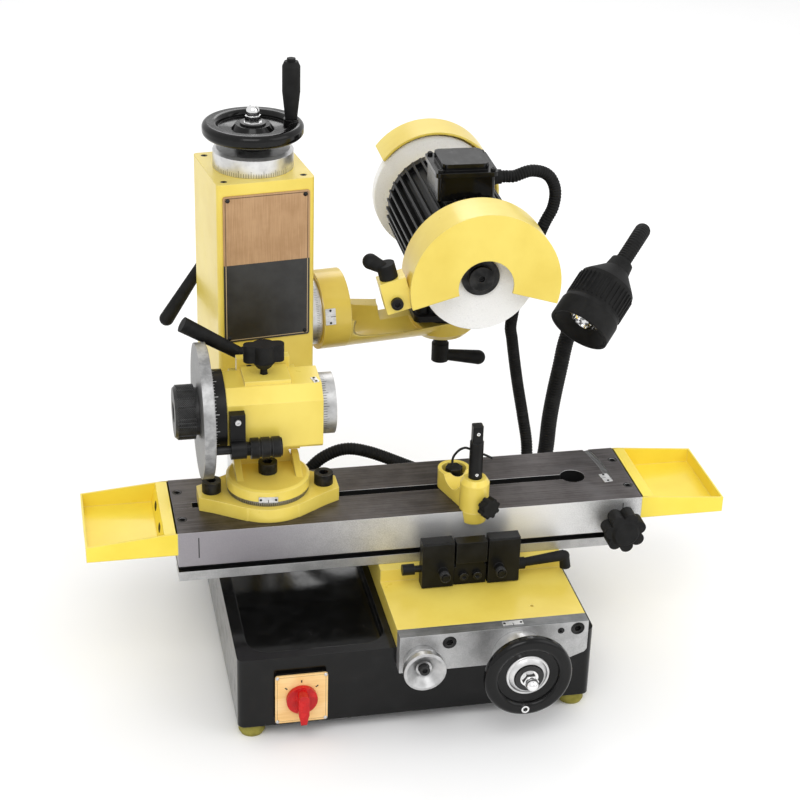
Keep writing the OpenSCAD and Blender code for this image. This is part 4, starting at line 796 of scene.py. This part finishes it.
def coil(origin, axis, radius, wire, rise, turns, steps=24, sides=8):
    """A coil spring: a small circle carried along a helix about an axis, its ends closed."""
    o, m = place(origin, SKEW, axis)
    a = np.linspace(0, 2 * np.pi * turns, steps * turns + 1)[:, None]
    b = np.linspace(0, 2 * np.pi, sides, endpoint=False)[None, :]
    r, z = radius + wire * np.cos(b), rise * a / a.max() + wire * np.sin(b)
    v = np.stack([r * np.cos(a), r * np.sin(a), z], -1).reshape(-1, 3) / 1000
    return o + v @ m.T, [f[::-1] for f in grid_faces(steps * turns + 1, sides)]


def facing(origin, z, x=SKEW):
    """A place whose Z points a given way, and whose X follows a skew line unless another is given."""
    return place(origin, x, z)


def turned(frame_of, deg):
    """One of the frames above, turned about its own Y as the guards are."""
    c, s = math.cos(math.radians(deg)), math.sin(math.radians(deg))
    return frame_of[0], frame_of[1] @ np.array([[c, 0, s], [0, 1, 0], [-s, 0, c]])


def index_plate(name, where, w, h, body):
    """A small bare plate with a rivet at each end and a black index line, its face along the Z of a place."""
    m = Mat(name)
    cloud, brush = m.noise(0.006, 4), m.noise(0.0009, 2, 0.5, (0.1, 1, 1))
    base = m.mix(grey(0.55), grey(0.75), (cloud * 0.5 + brush * 0.5).ramp(0.35, 0.65))
    u, v = (m.along(where[0], where[1][:, k]) for k in (0, 1))
    line = abs(u).below(0.0004) * v.below(0)
    base = m.mix(base, grey(0.012), line)
    steel = m.finish(base, 0.28 + 0.2 * cloud, 0.85 * (1 - line), brush, strength=0.05, depth=0.0003)
    piece(name, slab(box_outline(w, h, 0.8), -0.3, 0.8, where), body, "turned_steel", steel)
    ends = [(where[0] + where[1] @ np.array([s * (w / 2 - 2.4), 0.0, 0.75]) / 1000, where[1]) for s in (-1, 1)]
    piece(name + "_rivets", [rivet(1.5, e) for e in ends], body, "dark_steel")


def column_details():
    """What the column carries: cap screws, rivets of the bare plate, the tilt scale and its index."""
    col_x, col_y = COLUMN[1][:, 0], COLUMN[1][:, 1]
    piece("cap_screws", [socket_screw(3.8, 5.6, facing(inside(COLUMN, x, y, 545.1), UP, col_x))
                         for x in (-47, 47) for y in (-46, 46)], "housing", "black_satin")
    piece("plate_rivets", [rivet(2.6, facing(inside(COLUMN, x, -58.5, z), -col_y))
                           for x in (-46, 46) for z in (360, 532)], "housing", "dark_steel")
    axle_z, reach = 358, 48.2
    axle = inside(COLUMN, 0, 0, axle_z)
    tilt = scale_steel("tilt_scale", axle, col_y, col_x, count=120, foot=0.0665, short=0.0032, long=0.0055)
    piece("tilt_scale", ring([(41.4, 58.2), (42.0, 58.2), (42.0, 73.7), (41.4, 73.7)], place(axle, col_y, col_x)),
          "housing", "turned_steel", tilt)
    a = math.radians(12)
    out = -col_y * math.cos(a) + np.array(UP) * math.sin(a)
    index_plate("arm_index", place(inside(COLUMN, 81.5, -reach * math.cos(a), axle_z + reach * math.sin(a)),
                                   np.cross(out, col_x), out), w=20, h=13, body="arm_body")


def motor_details():
    """The bolts of both guards and the screws of the terminal box."""
    ear_turn, rear_turn = -16, 52
    rear = turned(MOTOR, rear_turn)
    front_ear, rear_ear = turned(MOTOR, ear_turn), turned((rear[0], rear[1] @ turn_z(180)), ear_turn)
    for name, f, r, body in (("guard_bolt", front_ear, 90, "front_guard"),
                             ("rear_guard_bolt", rear_ear, 86, "rear_guard")):
        spot = inside(f, -r - 15, -172.5, 12)
        piece(name, socket_screw(7.2, 6, facing(spot, -f[1][:, 1])), body, "black_satin")
    piece("lid_screws", [socket_screw(3.2, 3.2, facing(inside(MOTOR, -3 + x, -35 + y, 102), UP))
                         for x in (-32, 32) for y in (-32, 32)], "motor", "black_satin")


def table_details():
    """What the table carries: screws, tray flanges and holes, the slot's end, the swivel scale and springs."""
    piece("table_screws", [socket_screw(3.8, 4.4, facing(at(x, y, 201.7), UP), key=0.74)
                           for x, y in TABLE_SCREWS], "table_body", "hose_black")
    flange = [slab(outline, -60.7, 60.7, place(at(x, 62, 181), RIGHT, FRONT), bevel=0.2)
              for x, outline in ((-272.5, [(-20, 0), (0, 0), (0, 25.1), (-15, 25.1)]),
                                 (272.5, [(0, 0), (20, 0), (15, 25.1), (0, 25.1)]))]
    piece("tray_flanges", flange, "table_body", "yellow_paint", TRAY_PAINT)
    slots = [slab(box_outline(15, 9, 4.4), -0.3, 0.25,
                  place(at(side * 290, y, 193.6), FRONT, (side, 0, 0.2)), bevel=0.1)
             for side in (-1, 1) for y in (39, 89)]
    piece("tray_slots", slots, "table_body", "hose_black")
    piece("slot_end", slab(box_outline(22, 12, 0.4), 194.0, 206.58, (at(-261.4, 62, 0), np.eye(3)), bevel=0.1),
          "table_body", "ground_steel", TABLE_STEEL)
    b = np.radians(np.linspace(-3.2, 14.2, 24))
    arc = np.concatenate([np.stack([q * np.cos(c), q * np.sin(c)], -1)
                          for q, c in ((250.2, b), (243.8, b[::-1]))])
    swing = scale_steel("swivel_scale", TABLE_FACE, RIGHT, UP,
                        count=540, foot=-0.01, short=0.02, long=0.02, shade=0.2, width=0.35)
    piece("swivel_scale", slab(arc, -2.1, -0.5, (TABLE_FACE, np.eye(3)), bevel=0.1),
          "table_body", "turned_steel", swing)
    index_plate("table_index", place(at(243, 51, 206.6), (0.12, -0.99, 0), UP), w=19, h=11, body="table_body")
    for name, x, body in (("left_spring", 26, "left_stop"), ("right_spring", 92, "right_stop")):
        spring = coil(at(x, -44.2, 149.7), FRONT, radius=5.4, wire=0.75, rise=6.6, turns=4)
        piece(name, spring, body, "dark_steel")


def feed_details():
    """The bright ring on the cross handwheel's hub and the index of its dial."""
    hub = place(at(93.5, -173.2, 94), RIGHT, FRONT)
    profile = [(16.3, -1.2), (24.8, -1.2), (24.8, 0.3), (24.2, 0.9), (22.2, 0.9), (18.2, 4.9), (17.3, 5.1),
               (16.3, 4.4)]
    piece("hub_ring", ring(profile, hub), "cross_wheel", "turned_steel")
    index_plate("saddle_index", place(at(88, -120.5, 128.2), RIGHT, UP), w=24, h=8, body="saddle_body")


def head_details():
    """What the work head carries: its swivel scale, two indexes and the screw of its bracket."""
    scale = scale_steel("swivel_ring", HEAD_FOOT, RIGHT, UP,
                        count=120, foot=0.2244, short=0.0032, long=0.0052, shade=0.2, width=0.28)
    piece("swivel_ring", ring([(46.4, 223.9), (46.9, 223.9), (46.9, 229.6), (46.4, 229.6)], (HEAD_FOOT, np.eye(3))),
          "table_body", "turned_steel", scale)
    c = math.radians(-97)
    out = np.array([math.cos(c), math.sin(c), 0])
    index_plate("head_index", place(at(-162.5, 62, 233.4) + out * 0.0478, np.cross(UP, out), out),
                w=22, h=7, body="head_turn")
    piece("bracket_screw", socket_screw(3.4, 3, facing(at(-202, 13, 335.6), FRONT)), "head", "turned_steel")
    index_plate("dial_index", place(at(-111, 47, 364.5), (0.2, -0.98, 0), UP), w=13, h=7, body="head")


def rest_and_switch_details():
    """The bright screws of the tooth rest and the rivets of the switch plate."""
    piece("rest_screws", [socket_screw(2.15, 4, facing(at(70, y, z), FRONT))
                          for y, z in ((4.5, 252.6), (5.5, 304.6))], "rest", "bright_chrome")
    piece("switch_screws", [rivet(2.2, facing(at(SWITCH[0] + x, SWITCH[1], SWITCH[2] + z), FRONT))
                            for x in (-27, 27) for z in (-29, 29)], "stand", "turned_steel")


def lamp_details():
    """The inside of the lamp: a faceted dish, the black cone in front of it and a small bulb."""
    shade = place(at(*LAMP), UP, BEAM)
    dish = [(4, 74.5), (20.8, 91), (20.8, 95.6), (20.2, 96), (18, 90.5), (13, 83), (8, 78.5), (4, 76.2)]
    piece("reflector", ring(dish, shade), "stand", "bright_chrome", facets())
    cone = [(20.9, 91.6), (30.6, 91.6), (36.3, 108.8), (35.6, 109), (20.9, 95.4)]
    piece("lamp_baffle", ring(cone, shade), "stand", "black_plastic")
    bulb = [(3.8, 72.9), (3.8, 84), (3.1, 88), (1.6, 90.4), (0.4, 91)]
    piece("lamp_capsule", revolve(bulb, shade, 20), "stand", "bulb_glass")


def cords():
    """The motor conduit, in four runs split where it crosses a joint, none attached to a body, and the lamp's
    gooseneck.
    """
    cable = route(CONDUIT)
    runs = [("conduit_motor", 0, 7, "motor", "arm_body"), ("conduit_arm", 7, 9, "arm_body", "housing"),
            ("conduit_drop", 9, 12, "housing", "nut"), ("conduit_floor", 12, 26, "nut", "stand")]
    for name, i, j, a, b in runs:
        surface, line = hose(cable[i * STEPS:j * STEPS + 1], radius=0.00775, pitch=0.0036, depth=0.0010)
        o = piece(name, surface, None, "hose_black")
        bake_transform(o)
        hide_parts("conduit")
    surface, line = hose(eased(route(NECK), passes=120), radius=0.0105, pitch=0.0038, depth=0.0010, sides=24)
    o = piece("gooseneck", surface, "stand", "hose_black")
    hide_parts("lamp_neck")


def paint_castings():
    """Gives each CAD node its slot's material, or one of its own where it carries marks or differs in shade."""
    special = {
        "lift_dial": scale_steel("lift_scale", COLUMN[0], COLUMN[1][:, 0], UP,
                                 count=100, foot=0.5514, short=0.0048, long=0.0078),
        "cross_dial": scale_steel("cross_scale", CROSS_AXLE, RIGHT, FRONT,
                                  count=100, foot=0.2722, short=0.0045, long=0.007),
        "head_dials": spindle_plates(),
        "trays": TRAY_PAINT,
        "arm": yellow_paint("arm_paint", (0.63, 0.455, 0.062), (0.74, 0.56, 0.10)),
        "head_ring": index_ring(),
        "head_spindle": knurled("nose_knurl", SPINDLE, RIGHT, UP,
                                count=80, low=-0.1035, high=-0.0825, shade=0.03, metal=0.7),
        "head_plunger": knurled("plunger_knurl", at(-195, 4, 301.6), RIGHT, UP,
                                count=40, low=0.0, high=0.05, shade=0.012, metal=0.6),
        "table": TABLE_STEEL,
        "table_slide": ground_steel("slide_steel", STOP_GROOVE),
        "cross_cap": capped("cross_cap_metal", CROSS_AXLE, (0, 1, 0), low=0.0102, high=0.0175, outer=0.8),
        "lift_cap": capped("lift_cap_metal", COLUMN[0], UP, low=0.0104, high=0.0175, outer=0.8),
        "table_knob": capped("knob_metal", at(-18, 0, 96), (0, 1, 0),
                             low=-0.001, high=0.0066, outer=0.46, dull=0.22),
    }
    for part in frame["record"]["subparts"]:
        node = NODES[part["node"]]
        node.material_slots[0].material = special.get(part["node"], MATERIALS[part["material_slot"]])


def studio():
    """A pale floor, a bright even sky and soft lights."""
    m = Mat("floor")
    grain = m.noise(0.3, 3)
    m.finish(m.mix(grey(0.965), grey(0.98), grain.ramp(0.3, 0.7)), 0.7 + 0.1 * grain, Specular_IOR_Level=0.1)
    v = np.array([[-14, -9, 0], [14, -9, 0], [14, 19, 0], [-14, 19, 0]], float)
    mesh = bpy.data.meshes.new("floor")
    mesh.from_pydata(v.tolist(), [], [[0, 1, 2, 3]])
    mesh.materials.append(m.material)
    ground = bpy.data.objects.new("floor", mesh)
    scene.collection.objects.link(ground)
    world = bpy.data.worlds.new("sky")
    world.use_nodes = True
    sky = world.node_tree.nodes["Background"]
    sky.inputs["Color"].default_value = (1, 1, 1, 1)
    sky.inputs["Strength"].default_value = 0.86
    scene.world = world
    for name, size, power, spot in (("key", 1.6, 26, (-0.6, -2.0, 2.6)), ("fill", 1.8, 12, (1.9, -1.2, 1.7)),
                                    ("back", 1.4, 18, (0.4, 2.2, 2.2))):
        data = bpy.data.lights.new(name, "AREA")
        data.size = size
        data.energy = power
        lamp = bpy.data.objects.new(name, data)
        aim = (Vector((0, 0, 0.3)) - Vector(spot)).to_track_quat("-Z", "Y")
        lamp.matrix_world = Matrix.LocRotScale(Vector(spot), aim, Vector((1, 1, 1)))
        scene.collection.objects.link(lamp)
    scene.view_settings.view_transform = "Standard"


cords()
paint_castings()
column_details()
motor_details()
table_details()
feed_details()
head_details()
rest_and_switch_details()
lamp_details()
studio()
